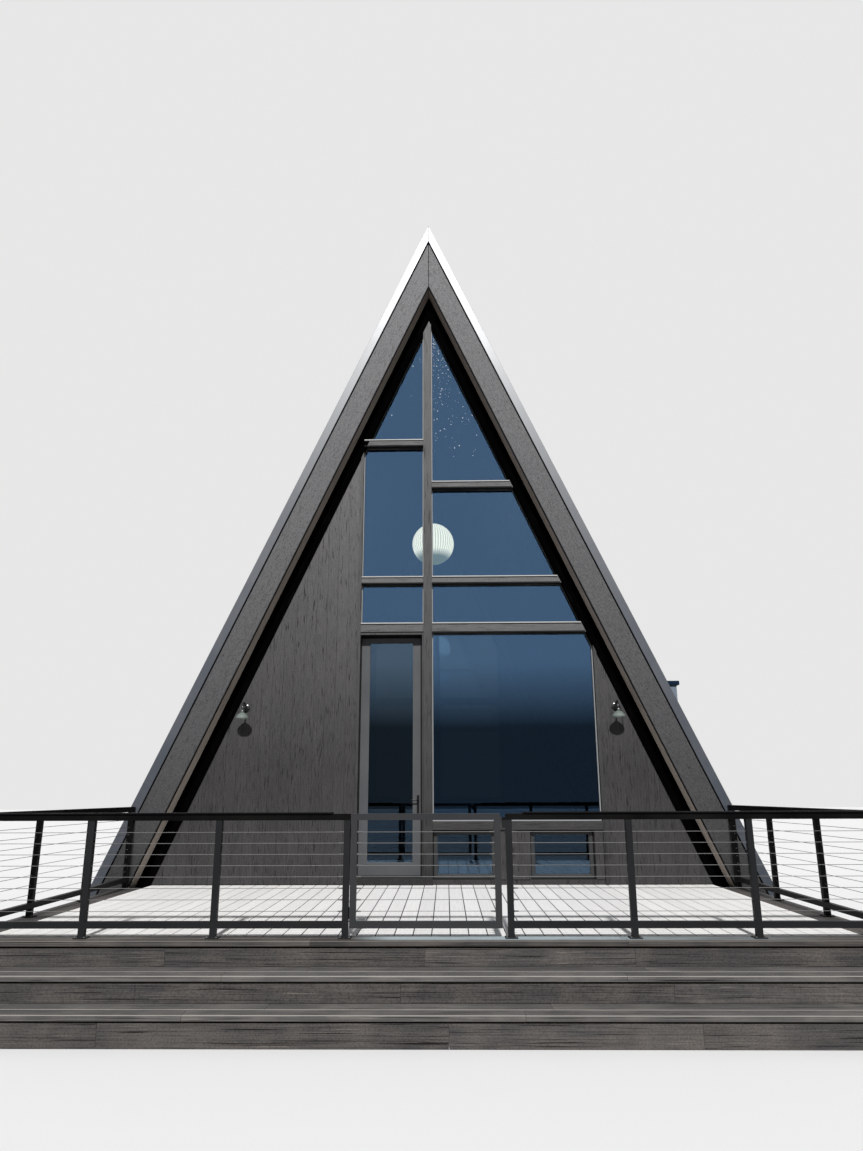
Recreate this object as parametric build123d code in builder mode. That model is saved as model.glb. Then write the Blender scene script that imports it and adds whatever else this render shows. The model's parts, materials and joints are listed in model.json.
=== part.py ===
from build123d import *
import os
from math import atan, cos, pi, sin, tan

# A timber A-frame cabin: two steep roof slabs that reach nearly to the ground, a glazed front
# gable, and a railed deck with full-width steps. Lengths are in millimetres, +Z is up, the front
# faces -Y, and the origin is on the ground at the centre of the footprint.

# Roof
ridge_height = 9957
half_base = 4396
eave_height = 150
house_length = 9000
overhang = 300
roof_build_up = 425
soffit_thickness = 20
seam_height = 32
seam_width = 14
seam_spacing = 400
pan_thickness = 6
fascia_thickness = 40
rake_trim_face = 108
rake_trim_thickness = 18
rake_trim_cover = 60
ridge_cap_leg = 170
eave_board_thickness = 40
slope = atan(half_base / ridge_height)

# Foundation and floor
deck_height = 590
floor_rise = 65
floor_thickness = 300
foundation_thickness = 200

# Front gable
wall_thickness = 170
frame_proud = 40
raking_frame_width = 180
post_left_x = 86
post_right_x = 30
rail_width = 138
thin_rail_width = 105
jamb_width = 40
left_jamb_x = 930
right_jamb_x = 2170
door_head_height = 3155
transom_height = 3181
short_window_height = 543
right_upper_rail_height = 5252
left_upper_rail_height = 5895
sill_rail_height = 653
awning_width = 804
awning_base_height = 60
awning_end_margin = 110
awning_sash_width = 53
awning_sash_depth = 60
awning_glass_setback = 20
glass_thickness = 24
glass_setback = 60

# Door
door_leaf_width = 813
door_leaf_thickness = 57
door_gap = 5
door_latch_gap = 8
door_stile = 110
door_top_rail = 75
door_bottom_rail = 165
door_sill_height = 80
door_hinge_count = 4
door_hinge_length = 105
door_hinge_margin = 250
handle_height = 1018
handle_setback = 48
handle_plate_width = 32
handle_plate_height = 230
handle_plate_drop = 60
handle_plate_thickness = 8
spindle_radius = 10
lever_length = 102
lever_stand_off = 52
lever_thickness = 18
lever_height = 20

# Rear gable
rear_post_width = 118
rear_bay_width = 1440
rear_sill_height = 900

# Deck and steps
deck_depth = 3952
deck_side_set_in = 355.5
board_thickness = 40
border_front_width = 225
deck_floor_gap = 4
deck_house_gap = 10
joist_height = 150
joist_width = 45
joist_spacing = 480
deck_post_size = 100
deck_post_inset = 180
skirt_thickness = 25
step_going = 300
step_nosing = 25
step_heights = [403, 216]
riser_thickness = 25
stringer_width = 45
stringer_count = 5

# Railing
rail_setback = 135
rail_side_inset = 90
rail_end_gap = 5
post_size = 50
plate_size = 100
plate_thickness = 8
rail_top_height = 950
cap_width = 80
cap_thickness = 12
cap_stop = 94
bottom_rail_gap = 73
left_front_bay = 1044
right_front_bay = 967
side_bay_count = 3
cable_diameter = 6
cable_hole_diameter = 9
cable_sides = 6
cable_count = 8
cable_first_height = 196
cable_spacing = 85.6

# Gate
gate_centre = 51
gate_half_width = 655
gate_hinge_gap = 8
gate_latch_gap = 44
gate_tube = 50
gate_hinge_length = 90
gate_hinge_margin = 60
latch_height = 40
latch_thickness = 14
latch_clearance = 8
strike_width = 30
strike_thickness = 6

# Hinges
knuckle_radius = 9
hinge_pin_radius = 5
hinge_running_gap = 0.3
hinge_plate = 6
hinge_plate_reach = 32

# Lamps
lamp_side_gap = 20
lamp_plate_height = 2185
lamp_plate_radius = 60
lamp_plate_thickness = 20
lamp_arm_radius = 11
lamp_arm_rise = 55
lamp_shade_base = 2038
lamp_shade_height = 80
lamp_shade_radius = 98
lamp_neck_radius = 26
lamp_shade_wall = 3
lamp_reach = 190
globe_radius = 380
globe_hoops = 12
globe_setback = 3440
globe_height = 6097
cord_radius = 6
rose_radius = 40
rose_height = 30

# Dormer on the right slope
dormer_setback = 1400
dormer_length = 2000
dormer_base_height = 1607
dormer_height = 1690
dormer_wall = 120
dormer_ceiling = 60
dormer_roof_thickness = 60
dormer_eave = 35
dormer_window_margin = 250

fit = 0.3

front_reach = deck_depth + step_going * len(step_heights)
rear_reach = house_length + overhang + rake_trim_thickness
wall_y = (front_reach - rear_reach) / 2
roof_front_y = wall_y - overhang
roof_rear_y = wall_y + house_length + overhang
rear_y = wall_y + house_length
deck_front_y = wall_y - deck_depth
rail_y = deck_front_y + rail_setback
floor_z = deck_height + floor_rise
floor_base_z = floor_z - floor_thickness


def half_width(height, depth):
    """Half the width of the roof at a height, at a depth below its outer surface."""
    return (ridge_height - depth / sin(slope) - height) * tan(slope)


def height_at(x, depth):
    """The height at which the roof, at a depth below its outer surface, is x from the axis."""
    return ridge_height - depth / sin(slope) - x / tan(slope)


def mirrored(outline):
    """The same outline on the other side of the axis."""
    return [(-x, z) for x, z in outline]


def gable_plane(y):
    """A plane seen from the front, at y, from which an extrusion runs towards the front."""
    return Plane.XZ.offset(-y)


def upright(outline, y, depth):
    """Add a flat upright piece: its outline in X and Z, its front at y and its depth behind it."""
    with BuildSketch(gable_plane(y + depth)) as profile:
        Polygon(*outline)
    extrude(profile.sketch, amount=depth)


def pair(outline, y, depth):
    """Add the same upright piece on both sides of the axis."""
    upright(outline, y, depth)
    upright(mirrored(outline), y, depth)


def block(x0, x1, y0, y1, z0, z1, mode=Mode.ADD):
    """Add a squared timber or slab between two corners."""
    with BuildSketch(Plane.XY.offset(z0)) as footprint:
        with Locations(((x0 + x1) / 2, (y0 + y1) / 2)):
            Rectangle(x1 - x0, y1 - y0)
    extrude(footprint.sketch, amount=z1 - z0, mode=mode)


def rod(plane, places, radius, length):
    """Add round rods from a plane at the given places on it."""
    with BuildSketch(plane) as ends:
        with Locations(*places):
            Circle(radius)
    extrude(ends.sketch, amount=length)


def wires(plane, places, diameter, length, mode=Mode.ADD):
    """Add cables, or the holes they run through, drawn with six sides."""
    with BuildSketch(plane) as ends:
        with Locations(*places):
            RegularPolygon(diameter / 2, cable_sides)
    extrude(ends.sketch, amount=length, mode=mode)


def save(name, label):
    """Name a finished piece and write it."""
    name.part.label = label
    export_step(name.part, f"parts/{label}.step")


def roof_layer(outer, inner, lower_z=eave_height):
    """The right-hand outline of a roof layer between two depths, mitred at the ridge."""
    return [
        (half_width(lower_z, outer), lower_z),
        (half_width(lower_z, inner), lower_z),
        (fit / 2, height_at(fit / 2, inner)),
        (fit / 2, height_at(fit / 2, outer)),
    ]


os.makedirs("parts", exist_ok=True)

slab_depth = seam_height + pan_thickness
roof_length = roof_rear_y - roof_front_y
slab_front_y = roof_front_y + fascia_thickness
slab_length = roof_length - 2 * fascia_thickness
panel_front_y = roof_front_y + rake_trim_cover + fit
panel_length = roof_length - 2 * (rake_trim_cover + fit)
slab_lower_z = eave_height + eave_board_thickness

# Foundation and floor
inner_line = roof_build_up - soffit_thickness
frame_line = inner_line + raking_frame_width
with BuildPart() as foundation:
    foot_x = half_width(floor_base_z, inner_line)
    toe_x = half_width(eave_height, inner_line)
    end_x = foot_x - foundation_thickness
    side_outline = [
        (end_x, 0),
        (toe_x, 0),
        (toe_x, eave_height),
        (foot_x, floor_base_z),
        (end_x, floor_base_z),
    ]
    pair(side_outline, wall_y, house_length)
    for y in (wall_y, rear_y - foundation_thickness):
        block(fit - end_x, end_x - fit, y, y + foundation_thickness, 0, floor_base_z)
save(foundation, "foundation")

with BuildPart() as floor:
    floor_outline = [
        (-half_width(floor_base_z, inner_line), floor_base_z),
        (half_width(floor_base_z, inner_line), floor_base_z),
        (half_width(floor_z, inner_line), floor_z),
        (-half_width(floor_z, inner_line), floor_z),
    ]
    upright(floor_outline, wall_y + wall_thickness, house_length - 2 * wall_thickness)
save(floor, "floor")

# Dormer places
dormer_y = wall_y + dormer_setback
dormer_base_z = dormer_base_height
dormer_face_x = half_width(dormer_base_z, slab_depth)
dormer_top = dormer_base_z + dormer_height
dormer_eave_z = dormer_top - dormer_roof_thickness
dormer_head_z = dormer_eave_z - dormer_ceiling
dormer_inner_x = half_width(dormer_eave_z, slab_depth)
dormer_cut_x = half_width(dormer_eave_z, inner_line) - dormer_wall

# Roof
slab_outline = roof_layer(slab_depth, inner_line, slab_lower_z)
panel_outline = roof_layer(seam_height, slab_depth, slab_lower_z)
seam_top_z = ridge_height - ridge_cap_leg * cos(slope)
seam_outline = [
    (half_width(slab_lower_z, 0), slab_lower_z),
    (half_width(slab_lower_z, seam_height), slab_lower_z),
    (half_width(seam_top_z, seam_height), seam_top_z),
    (half_width(seam_top_z, 0), seam_top_z),
]
seam_count = int(panel_length // seam_spacing)
seam_step = (panel_length - seam_width) / seam_count
seam_places = [panel_front_y + seam_step * i for i in range(seam_count + 1)]

with BuildPart() as roof_left:
    upright(mirrored(slab_outline), slab_front_y, slab_length)
save(roof_left, "roof_left")

with BuildPart() as roof_right:
    upright(slab_outline, slab_front_y, slab_length)
    block(
        dormer_cut_x,
        dormer_face_x,
        dormer_y + dormer_wall,
        dormer_y + dormer_length - dormer_wall,
        dormer_base_z + dormer_wall / tan(slope),
        dormer_head_z,
        mode=Mode.SUBTRACT,
    )
save(roof_right, "roof_right")

with BuildPart() as cladding_left:
    upright(mirrored(panel_outline), panel_front_y, panel_length)
    for y in seam_places:
        upright(mirrored(seam_outline), y, seam_width)
save(cladding_left, "cladding_left")

with BuildPart() as cladding_right:
    upright(panel_outline, panel_front_y, panel_length)
    for y in seam_places:
        upright(seam_outline, y, seam_width)
    block(
        dormer_cut_x,
        half_base,
        dormer_y - dormer_eave - fit,
        dormer_y + dormer_length + dormer_eave + fit,
        dormer_base_z,
        dormer_top,
        mode=Mode.SUBTRACT,
    )
save(cladding_right, "cladding_right")

with BuildPart() as ridge_cap:
    cap_base_z = seam_top_z + fit
    cap_outline = [
        (half_width(cap_base_z, 0), cap_base_z),
        (0, ridge_height),
        (-half_width(cap_base_z, 0), cap_base_z),
        (-half_width(cap_base_z, seam_height), cap_base_z),
        (0, height_at(0, seam_height)),
        (half_width(cap_base_z, seam_height), cap_base_z),
    ]
    upright(cap_outline, panel_front_y, panel_length)
save(ridge_cap, "ridge_cap")

with BuildPart() as rake_trims:
    trim_face = roof_layer(0, rake_trim_face)
    trim_cover = roof_layer(0, slab_depth)
    pair(trim_face, roof_front_y - rake_trim_thickness, rake_trim_thickness)
    pair(trim_face, roof_rear_y, rake_trim_thickness)
    pair(trim_cover, roof_front_y, rake_trim_cover)
    pair(trim_cover, roof_rear_y - rake_trim_cover, rake_trim_cover)
save(rake_trims, "rake_trims")

with BuildPart() as fascias:
    fascia_outline = roof_layer(slab_depth, roof_build_up)
    pair(fascia_outline, roof_front_y, fascia_thickness)
    pair(fascia_outline, roof_rear_y - fascia_thickness, fascia_thickness)
save(fascias, "fascias")

with BuildPart() as soffits:
    soffit_outline = roof_layer(inner_line, roof_build_up, slab_lower_z)
    soffit_length = overhang - frame_proud - fascia_thickness - fit
    pair(soffit_outline, slab_front_y, soffit_length)
    pair(soffit_outline, rear_y + frame_proud + fit, soffit_length)
save(soffits, "soffits")

with BuildPart() as eave_boards:
    eave_outline = [
        (half_width(eave_height, 0), eave_height),
        (half_width(eave_height, inner_line), eave_height),
        (half_width(slab_lower_z, inner_line), slab_lower_z),
        (half_width(slab_lower_z, 0), slab_lower_z),
    ]
    pair(eave_outline, panel_front_y, panel_length)
save(eave_boards, "eave_boards")

# Front gable wall
left_wall_x = left_jamb_x + jamb_width
right_wall_x = right_jamb_x + jamb_width
transom_z = deck_height + transom_height
transom_top_z = transom_z + rail_width
short_top_z = transom_top_z + short_window_height
short_rail_top_z = short_top_z + thin_rail_width
left_rail_z = deck_height + left_upper_rail_height
right_rail_z = deck_height + right_upper_rail_height
sill_rail_z = deck_height + sill_rail_height
frame_y = wall_y - frame_proud
frame_depth = wall_thickness + frame_proud
frame_base_z = deck_height + fit
wall_depth = wall_thickness - fit


def scribed(x):
    """The height at which a piece at x from the axis meets the raking frames."""
    return height_at(x, frame_line) - fit


def reach(z):
    """How far from the axis a piece at a height z runs before it meets the raking frames."""
    return half_width(z, frame_line) - fit


def post_between(inner_x, outer_x, base_z):
    """A post on the right of the axis, its top scribed to the raking frame."""
    return [(inner_x, base_z), (outer_x, base_z), (outer_x, scribed(outer_x)), (inner_x, scribed(inner_x))]


def wall_beside(x):
    """The wall from a jamb at x out to the raking frame, as an outline."""
    return [(x, floor_base_z), (reach(floor_base_z), floor_base_z), (x, scribed(x))]


with BuildPart() as front_wall:
    upright(mirrored(wall_beside(left_wall_x + fit)), wall_y, wall_depth)
    upright(wall_beside(right_wall_x + fit), wall_y, wall_depth)
    awning_base_z = deck_height + awning_base_height
    awning_left_x = post_right_x + fit
    awning_far_x = right_jamb_x - awning_end_margin
    wall_end_y = wall_y + wall_depth
    right_outer_x = right_jamb_x - fit
    block(awning_left_x, right_wall_x, wall_y, wall_end_y, floor_base_z, deck_height)
    block(awning_left_x, right_outer_x, wall_y, wall_end_y, frame_base_z, awning_base_z)
    for x0, x1 in (
        (awning_left_x + awning_width, awning_far_x - awning_width),
        (awning_far_x, right_outer_x),
    ):
        block(x0, x1, wall_y, wall_end_y, awning_base_z + fit, sill_rail_z - fit)
save(front_wall, "front_wall")

# Timber frame of the glazing
with BuildPart() as raking_frames:
    raking_outline = roof_layer(inner_line + fit, frame_line, floor_base_z)
    pair(raking_outline, frame_y, frame_depth)
    pair(raking_outline, rear_y - wall_thickness, frame_depth)
save(raking_frames, "raking_frames")

with BuildPart() as centre_post:
    post_outline = [
        (-post_left_x, frame_base_z),
        (post_right_x, frame_base_z),
        (post_right_x, scribed(post_right_x)),
        (0, scribed(0)),
        (-post_left_x, scribed(post_left_x)),
    ]
    upright(post_outline, frame_y, frame_depth)
save(centre_post, "centre_post")

with BuildPart() as jambs:
    left_jamb = post_between(left_jamb_x, left_wall_x, frame_base_z)
    right_jamb = post_between(right_jamb_x, right_wall_x, frame_base_z)
    upright(mirrored(left_jamb), frame_y, frame_depth)
    upright(right_jamb, frame_y, frame_depth)
save(jambs, "jambs")


def rail_outline(inner_x, outer_x, base_z, width):
    """A rail from the post outwards, its outer end scribed to the raking frame where it meets it."""
    top_z = base_z + width
    low_x = min(outer_x, reach(base_z))
    high_x = min(outer_x, reach(top_z))
    return [(inner_x, base_z), (low_x, base_z), (high_x, top_z), (inner_x, top_z)]


left_inner_x = post_left_x + fit
right_inner_x = post_right_x + fit
left_outer_x = left_jamb_x - fit
with BuildPart() as rails:
    for base_z, width in (
        (transom_z, rail_width),
        (short_top_z, thin_rail_width),
        (left_rail_z, thin_rail_width),
    ):
        upright(mirrored(rail_outline(left_inner_x, left_outer_x, base_z, width)), frame_y, frame_depth)
    for base_z, width in (
        (transom_z, rail_width),
        (short_top_z, thin_rail_width),
        (right_rail_z, thin_rail_width),
    ):
        upright(rail_outline(right_inner_x, right_outer_x, base_z, width), frame_y, frame_depth)
    upright(rail_outline(right_inner_x, right_outer_x, sill_rail_z, thin_rail_width), frame_y, frame_depth)
save(rails, "rails")

# Fixed panes
glass_y = wall_y + glass_setback


def pane_outline(inner_x, outer_x, base_z, top_z):
    """A pane between two rails, cut to the raking frame where it meets it."""
    base_z = base_z + fit
    top_z = min(top_z - fit, scribed(inner_x))
    low_x = min(outer_x, reach(base_z))
    high_x = min(outer_x, reach(top_z))
    points = [(inner_x, base_z), (low_x, base_z)]
    if base_z < scribed(outer_x) < top_z:
        points.append((outer_x, scribed(outer_x)))
    points.append((max(high_x, inner_x), top_z))
    if high_x > inner_x + fit:
        points.append((inner_x, top_z))
    return points


with BuildPart() as gable_glass:
    left_bounds = [
        (transom_top_z, short_top_z),
        (short_rail_top_z, left_rail_z),
        (left_rail_z + thin_rail_width, ridge_height),
    ]
    right_bounds = [
        (sill_rail_z + thin_rail_width, transom_z),
        (transom_top_z, short_top_z),
        (short_rail_top_z, right_rail_z),
        (right_rail_z + thin_rail_width, ridge_height),
    ]
    for base_z, top_z in left_bounds:
        pane = pane_outline(left_inner_x, left_outer_x, base_z, top_z)
        upright(mirrored(pane), glass_y, glass_thickness)
    for base_z, top_z in right_bounds:
        pane = pane_outline(right_inner_x, right_outer_x, base_z, top_z)
        upright(pane, glass_y, glass_thickness)
save(gable_glass, "gable_glass")

# Awning windows under the picture pane
sash_width = awning_width - 2 * fit
sash_height = sill_rail_z - awning_base_z - 2 * fit
sash_z = (sill_rail_z + awning_base_z) / 2
sash_places = [(awning_left_x + awning_width / 2, sash_z), (awning_far_x - awning_width / 2, sash_z)]
with BuildPart() as awning_sashes:
    with BuildSketch(gable_plane(glass_y + awning_sash_depth)) as sash_profile:
        with Locations(*sash_places):
            Rectangle(sash_width, sash_height)
            Rectangle(
                sash_width - 2 * awning_sash_width,
                sash_height - 2 * awning_sash_width,
                mode=Mode.SUBTRACT,
            )
    extrude(sash_profile.sketch, amount=awning_sash_depth)
save(awning_sashes, "awning_sashes")

with BuildPart() as awning_glass:
    with BuildSketch(gable_plane(glass_y + awning_glass_setback + glass_thickness)) as sash_panes:
        with Locations(*sash_places):
            Rectangle(
                sash_width - 2 * awning_sash_width - 2 * fit,
                sash_height - 2 * awning_sash_width - 2 * fit,
            )
    extrude(sash_panes.sketch, amount=glass_thickness)
save(awning_glass, "awning_glass")

# Door
leaf_left_x = door_gap - left_jamb_x
leaf_right_x = leaf_left_x + door_leaf_width
leaf_rear_y = wall_y + wall_thickness
leaf_front_y = leaf_rear_y - door_leaf_thickness
leaf_base_z = deck_height + door_sill_height + door_gap
leaf_top_z = deck_height + door_head_height - door_gap
hinge_x = door_gap / 2 - left_jamb_x
hinge_y = leaf_rear_y + knuckle_radius
sill_top_z = deck_height + door_sill_height

with BuildPart() as door_frame:
    lining_x = leaf_right_x + door_latch_gap
    block(-left_wall_x, post_right_x, wall_y, wall_end_y, floor_base_z, deck_height)
    block(fit - left_jamb_x, -left_inner_x, frame_y, wall_end_y, frame_base_z, sill_top_z)
    block(lining_x, -left_inner_x, frame_y, leaf_rear_y, sill_top_z + fit, transom_z - fit)
    block(
        fit - left_jamb_x,
        lining_x - fit,
        frame_y,
        leaf_rear_y,
        deck_height + door_head_height,
        transom_z - fit,
    )
save(door_frame, "door_frame")


def knuckle(x, y, z, length, plate_side, bore=0):
    """Add a hinge knuckle and its plate, bored for the pin where it turns."""
    with BuildSketch(Plane.XY.offset(z)) as section:
        with Locations((x, y)):
            Circle(knuckle_radius)
        with Locations((x + plate_side * hinge_plate_reach / 2, y - knuckle_radius + hinge_plate / 2)):
            Rectangle(hinge_plate_reach, hinge_plate)
        if bore:
            with Locations((x, y)):
                Circle(bore, mode=Mode.SUBTRACT)
    extrude(section.sketch, amount=length)


def hinge_fixed(x, y, z, length, plate_side):
    """Add the fixed half of a hinge: a pin and a knuckle with its plate at each end."""
    third = length / 3
    rod(Plane.XY.offset(z), [(x, y)], hinge_pin_radius, length)
    knuckle(x, y, z, third, plate_side)
    knuckle(x, y, z + 2 * third, third, plate_side)


def hinge_moving(x, y, z, length, plate_side):
    """Add the moving half of a hinge: the middle knuckle, bored for the pin, and its plate."""
    third = length / 3
    bore = hinge_pin_radius + hinge_running_gap
    knuckle(x, y, z + third + hinge_running_gap, third - 2 * hinge_running_gap, plate_side, bore)


door_hinge_span = leaf_top_z - leaf_base_z - 2 * door_hinge_margin - door_hinge_length
door_hinge_places = [
    leaf_base_z + door_hinge_margin + door_hinge_span * i / (door_hinge_count - 1)
    for i in range(door_hinge_count)
]

with BuildPart() as door_hinges:
    for z in door_hinge_places:
        hinge_fixed(hinge_x, hinge_y, z, door_hinge_length, -1)
save(door_hinges, "door_hinges")

with BuildPart() as door_leaf:
    block(leaf_left_x, leaf_right_x, leaf_front_y, leaf_rear_y, leaf_base_z, leaf_top_z)
    block(
        leaf_left_x + door_stile,
        leaf_right_x - door_stile,
        leaf_front_y,
        leaf_rear_y,
        leaf_base_z + door_bottom_rail,
        leaf_top_z - door_top_rail,
        mode=Mode.SUBTRACT,
    )
    for z in door_hinge_places:
        hinge_moving(hinge_x, hinge_y, z, door_hinge_length, 1)
save(door_leaf, "door_leaf")

with BuildPart() as door_glass:
    pane_y = (leaf_front_y + leaf_rear_y - glass_thickness) / 2
    block(
        leaf_left_x + door_stile + fit,
        leaf_right_x - door_stile - fit,
        pane_y,
        pane_y + glass_thickness,
        leaf_base_z + door_bottom_rail + fit,
        leaf_top_z - door_top_rail - fit,
    )
save(door_glass, "door_glass")

with BuildPart() as door_handle:
    handle_x = leaf_right_x - handle_setback
    handle_z = deck_height + handle_height
    plate_half = handle_plate_width / 2
    plate_base_z = handle_z + handle_plate_drop - handle_plate_height
    for face_y, outward in ((leaf_front_y, -1), (leaf_rear_y, 1)):
        start_y = face_y + outward * fit
        plate_y = start_y + outward * handle_plate_thickness
        lever_y = face_y + outward * lever_stand_off
        lever_end_y = lever_y + outward * lever_thickness
        plate_ends = sorted((start_y, plate_y))
        lever_ends = sorted((lever_y, lever_end_y))
        block(
            handle_x - plate_half,
            handle_x + plate_half,
            *plate_ends,
            plate_base_z,
            plate_base_z + handle_plate_height,
        )
        spindle_plane = gable_plane(max(plate_y, lever_y))
        rod(spindle_plane, [(handle_x, handle_z)], spindle_radius, abs(lever_y - plate_y))
        block(
            handle_x + spindle_radius - lever_length,
            handle_x + spindle_radius,
            *lever_ends,
            handle_z - lever_height / 2,
            handle_z + lever_height / 2,
        )
save(door_handle, "door_handle")

# Rear gable
rear_wall_y = rear_y - wall_thickness
rear_post_x = rear_post_width / 2
rear_inner_x = rear_post_x + fit
rear_jamb_x = rear_post_x + rear_bay_width
rear_wall_x = rear_jamb_x + jamb_width
rear_sill_z = deck_height + rear_sill_height
rear_head_z = right_rail_z + thin_rail_width
rear_gable_z = rear_head_z + fit
with BuildPart() as rear_wall:
    pair(wall_beside(rear_wall_x + fit), rear_wall_y + fit, wall_depth)
    block(-rear_wall_x, rear_wall_x, rear_wall_y + fit, rear_y, floor_base_z, rear_sill_z - fit)
    rear_gable = [
        (-reach(rear_gable_z), rear_gable_z),
        (reach(rear_gable_z), rear_gable_z),
        (0, scribed(0)),
    ]
    upright(rear_gable, rear_wall_y + fit, wall_depth)
save(rear_wall, "rear_wall")

with BuildPart() as rear_frame:
    rear_post_y = rear_wall_y + frame_depth
    block(-rear_post_x, rear_post_x, rear_wall_y, rear_post_y, rear_sill_z, rear_head_z)
    pair(post_between(rear_jamb_x, rear_wall_x, rear_sill_z), rear_wall_y, frame_depth)
    for base_z, width in (
        (rear_sill_z, thin_rail_width),
        (transom_z, rail_width),
        (right_rail_z, thin_rail_width),
    ):
        pair(rail_outline(rear_inner_x, rear_jamb_x - fit, base_z, width), rear_wall_y, frame_depth)
save(rear_frame, "rear_frame")

with BuildPart() as rear_glass:
    rear_bounds = [
        (rear_sill_z + thin_rail_width, transom_z),
        (transom_top_z, right_rail_z),
    ]
    for base_z, top_z in rear_bounds:
        pane = pane_outline(rear_inner_x, rear_jamb_x - fit, base_z, top_z)
        pair(pane, rear_y - glass_setback - glass_thickness, glass_thickness)
save(rear_glass, "rear_glass")

# Dormer
with BuildPart() as dormer_walls:
    shell = [
        (dormer_face_x, dormer_base_z),
        (dormer_face_x, dormer_eave_z),
        (dormer_inner_x, dormer_eave_z),
    ]
    upright(shell, dormer_y, dormer_length)
    block(
        dormer_cut_x,
        dormer_face_x - dormer_wall,
        dormer_y + dormer_wall,
        dormer_y + dormer_length - dormer_wall,
        dormer_base_z,
        dormer_head_z,
        mode=Mode.SUBTRACT,
    )
    pane_base_z = dormer_base_z + dormer_window_margin
    pane_top_z = dormer_eave_z - dormer_window_margin / 2
    pane_front_y = dormer_y + dormer_window_margin
    pane_rear_y = dormer_y + dormer_length - dormer_window_margin
    block(
        dormer_face_x - dormer_wall,
        dormer_face_x,
        pane_front_y,
        pane_rear_y,
        pane_base_z,
        pane_top_z,
        mode=Mode.SUBTRACT,
    )
save(dormer_walls, "dormer_walls")

with BuildPart() as dormer_glass:
    block(
        dormer_face_x - dormer_wall / 2 - glass_thickness,
        dormer_face_x - dormer_wall / 2,
        pane_front_y + fit,
        pane_rear_y - fit,
        pane_base_z + fit,
        pane_top_z - fit,
    )
save(dormer_glass, "dormer_glass")

with BuildPart() as dormer_roof:
    roof_outline = [
        (dormer_face_x + dormer_eave, dormer_eave_z),
        (dormer_face_x + dormer_eave, dormer_top),
        (half_width(dormer_top, slab_depth) + fit, dormer_top),
        (half_width(dormer_eave_z, slab_depth) + fit, dormer_eave_z),
    ]
    upright(roof_outline, dormer_y - dormer_eave, dormer_length + 2 * dormer_eave)
save(dormer_roof, "dormer_roof")

# Deck
deck_half_width = half_width(deck_height, 0) - deck_side_set_in
floor_half = half_width(deck_height, frame_line) - deck_floor_gap
deck_base_z = deck_height - board_thickness
deck_rear_y = roof_front_y - rake_trim_thickness - deck_house_gap
border_rear_y = deck_front_y + border_front_width
with BuildPart() as deck_floor:
    block(-floor_half, floor_half, border_rear_y, wall_y - fit, deck_base_z, deck_height)
save(deck_floor, "deck_floor")

with BuildPart() as deck_border:
    block(
        -deck_half_width,
        deck_half_width,
        deck_front_y,
        border_rear_y - fit,
        deck_base_z,
        deck_height,
    )
    for x0, x1 in ((-deck_half_width, -floor_half - fit), (floor_half + fit, deck_half_width)):
        block(x0, x1, border_rear_y, deck_rear_y, deck_base_z, deck_height)
save(deck_border, "deck_border")

joist_base_z = deck_base_z - joist_height
riser_face_y = deck_front_y + step_nosing
frame_front_y = riser_face_y + riser_thickness
skirt_x = deck_half_width - step_nosing
joist_end_x = skirt_x - skirt_thickness
joist_run = deck_rear_y - joist_width - frame_front_y
joist_count = int(joist_run // joist_spacing) + 1
joist_places = [frame_front_y + joist_run * i / joist_count for i in range(joist_count + 1)]
with BuildPart() as deck_joists:
    for y in joist_places:
        block(-joist_end_x, joist_end_x, y, y + joist_width, joist_base_z, deck_base_z)
    block(-floor_half, floor_half, wall_y - joist_width, wall_y, joist_base_z, deck_base_z)
save(deck_joists, "deck_joists")

with BuildPart() as deck_posts:
    outer_post_x = deck_half_width - deck_post_inset
    half_deck_post = deck_post_size / 2
    for y in (joist_places[0], joist_places[joist_count // 2], deck_rear_y - deck_post_size):
        for share in (-1, -0.5, 0, 0.5, 1):
            x = outer_post_x * share
            block(x - half_deck_post, x + half_deck_post, y, y + deck_post_size, 0, joist_base_z)
save(deck_posts, "deck_posts")

with BuildPart() as deck_skirts:
    for x0, x1 in ((-skirt_x, -joist_end_x), (joist_end_x, skirt_x)):
        block(x0, x1, frame_front_y, deck_rear_y, 0, deck_base_z)
save(deck_skirts, "deck_skirts")

# Steps
tread_edges = [deck_front_y - step_going * (i + 1) for i in range(len(step_heights))]
riser_tops = [deck_base_z] + [height - board_thickness for height in step_heights]
riser_bases = step_heights + [0]
riser_faces = [deck_front_y + step_nosing] + [edge + step_nosing for edge in tread_edges]
with BuildPart() as step_treads:
    for i, height in enumerate(step_heights):
        block(
            -deck_half_width,
            deck_half_width,
            tread_edges[i],
            riser_faces[i] - fit,
            height - board_thickness,
            height,
        )
save(step_treads, "step_treads")

with BuildPart() as step_risers:
    for face, top, base in zip(riser_faces, riser_tops, riser_bases):
        block(
            -skirt_x,
            skirt_x,
            face,
            face + riser_thickness,
            base,
            top,
        )
save(step_risers, "step_risers")

with BuildPart() as step_stringers:
    profile = [
        (riser_faces[2] + riser_thickness, 0),
        (riser_faces[2] + riser_thickness, riser_tops[2]),
        (riser_faces[1] + riser_thickness, riser_tops[2]),
        (riser_faces[1] + riser_thickness, riser_tops[1]),
        (frame_front_y, riser_tops[1]),
        (frame_front_y, 0),
    ]
    for i in range(stringer_count):
        x = -skirt_x + (2 * skirt_x - stringer_width) * i / (stringer_count - 1)
        with BuildSketch(Plane.YZ.offset(x)):
            Polygon(*profile)
        extrude(amount=stringer_width)
save(step_stringers, "step_stringers")

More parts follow.
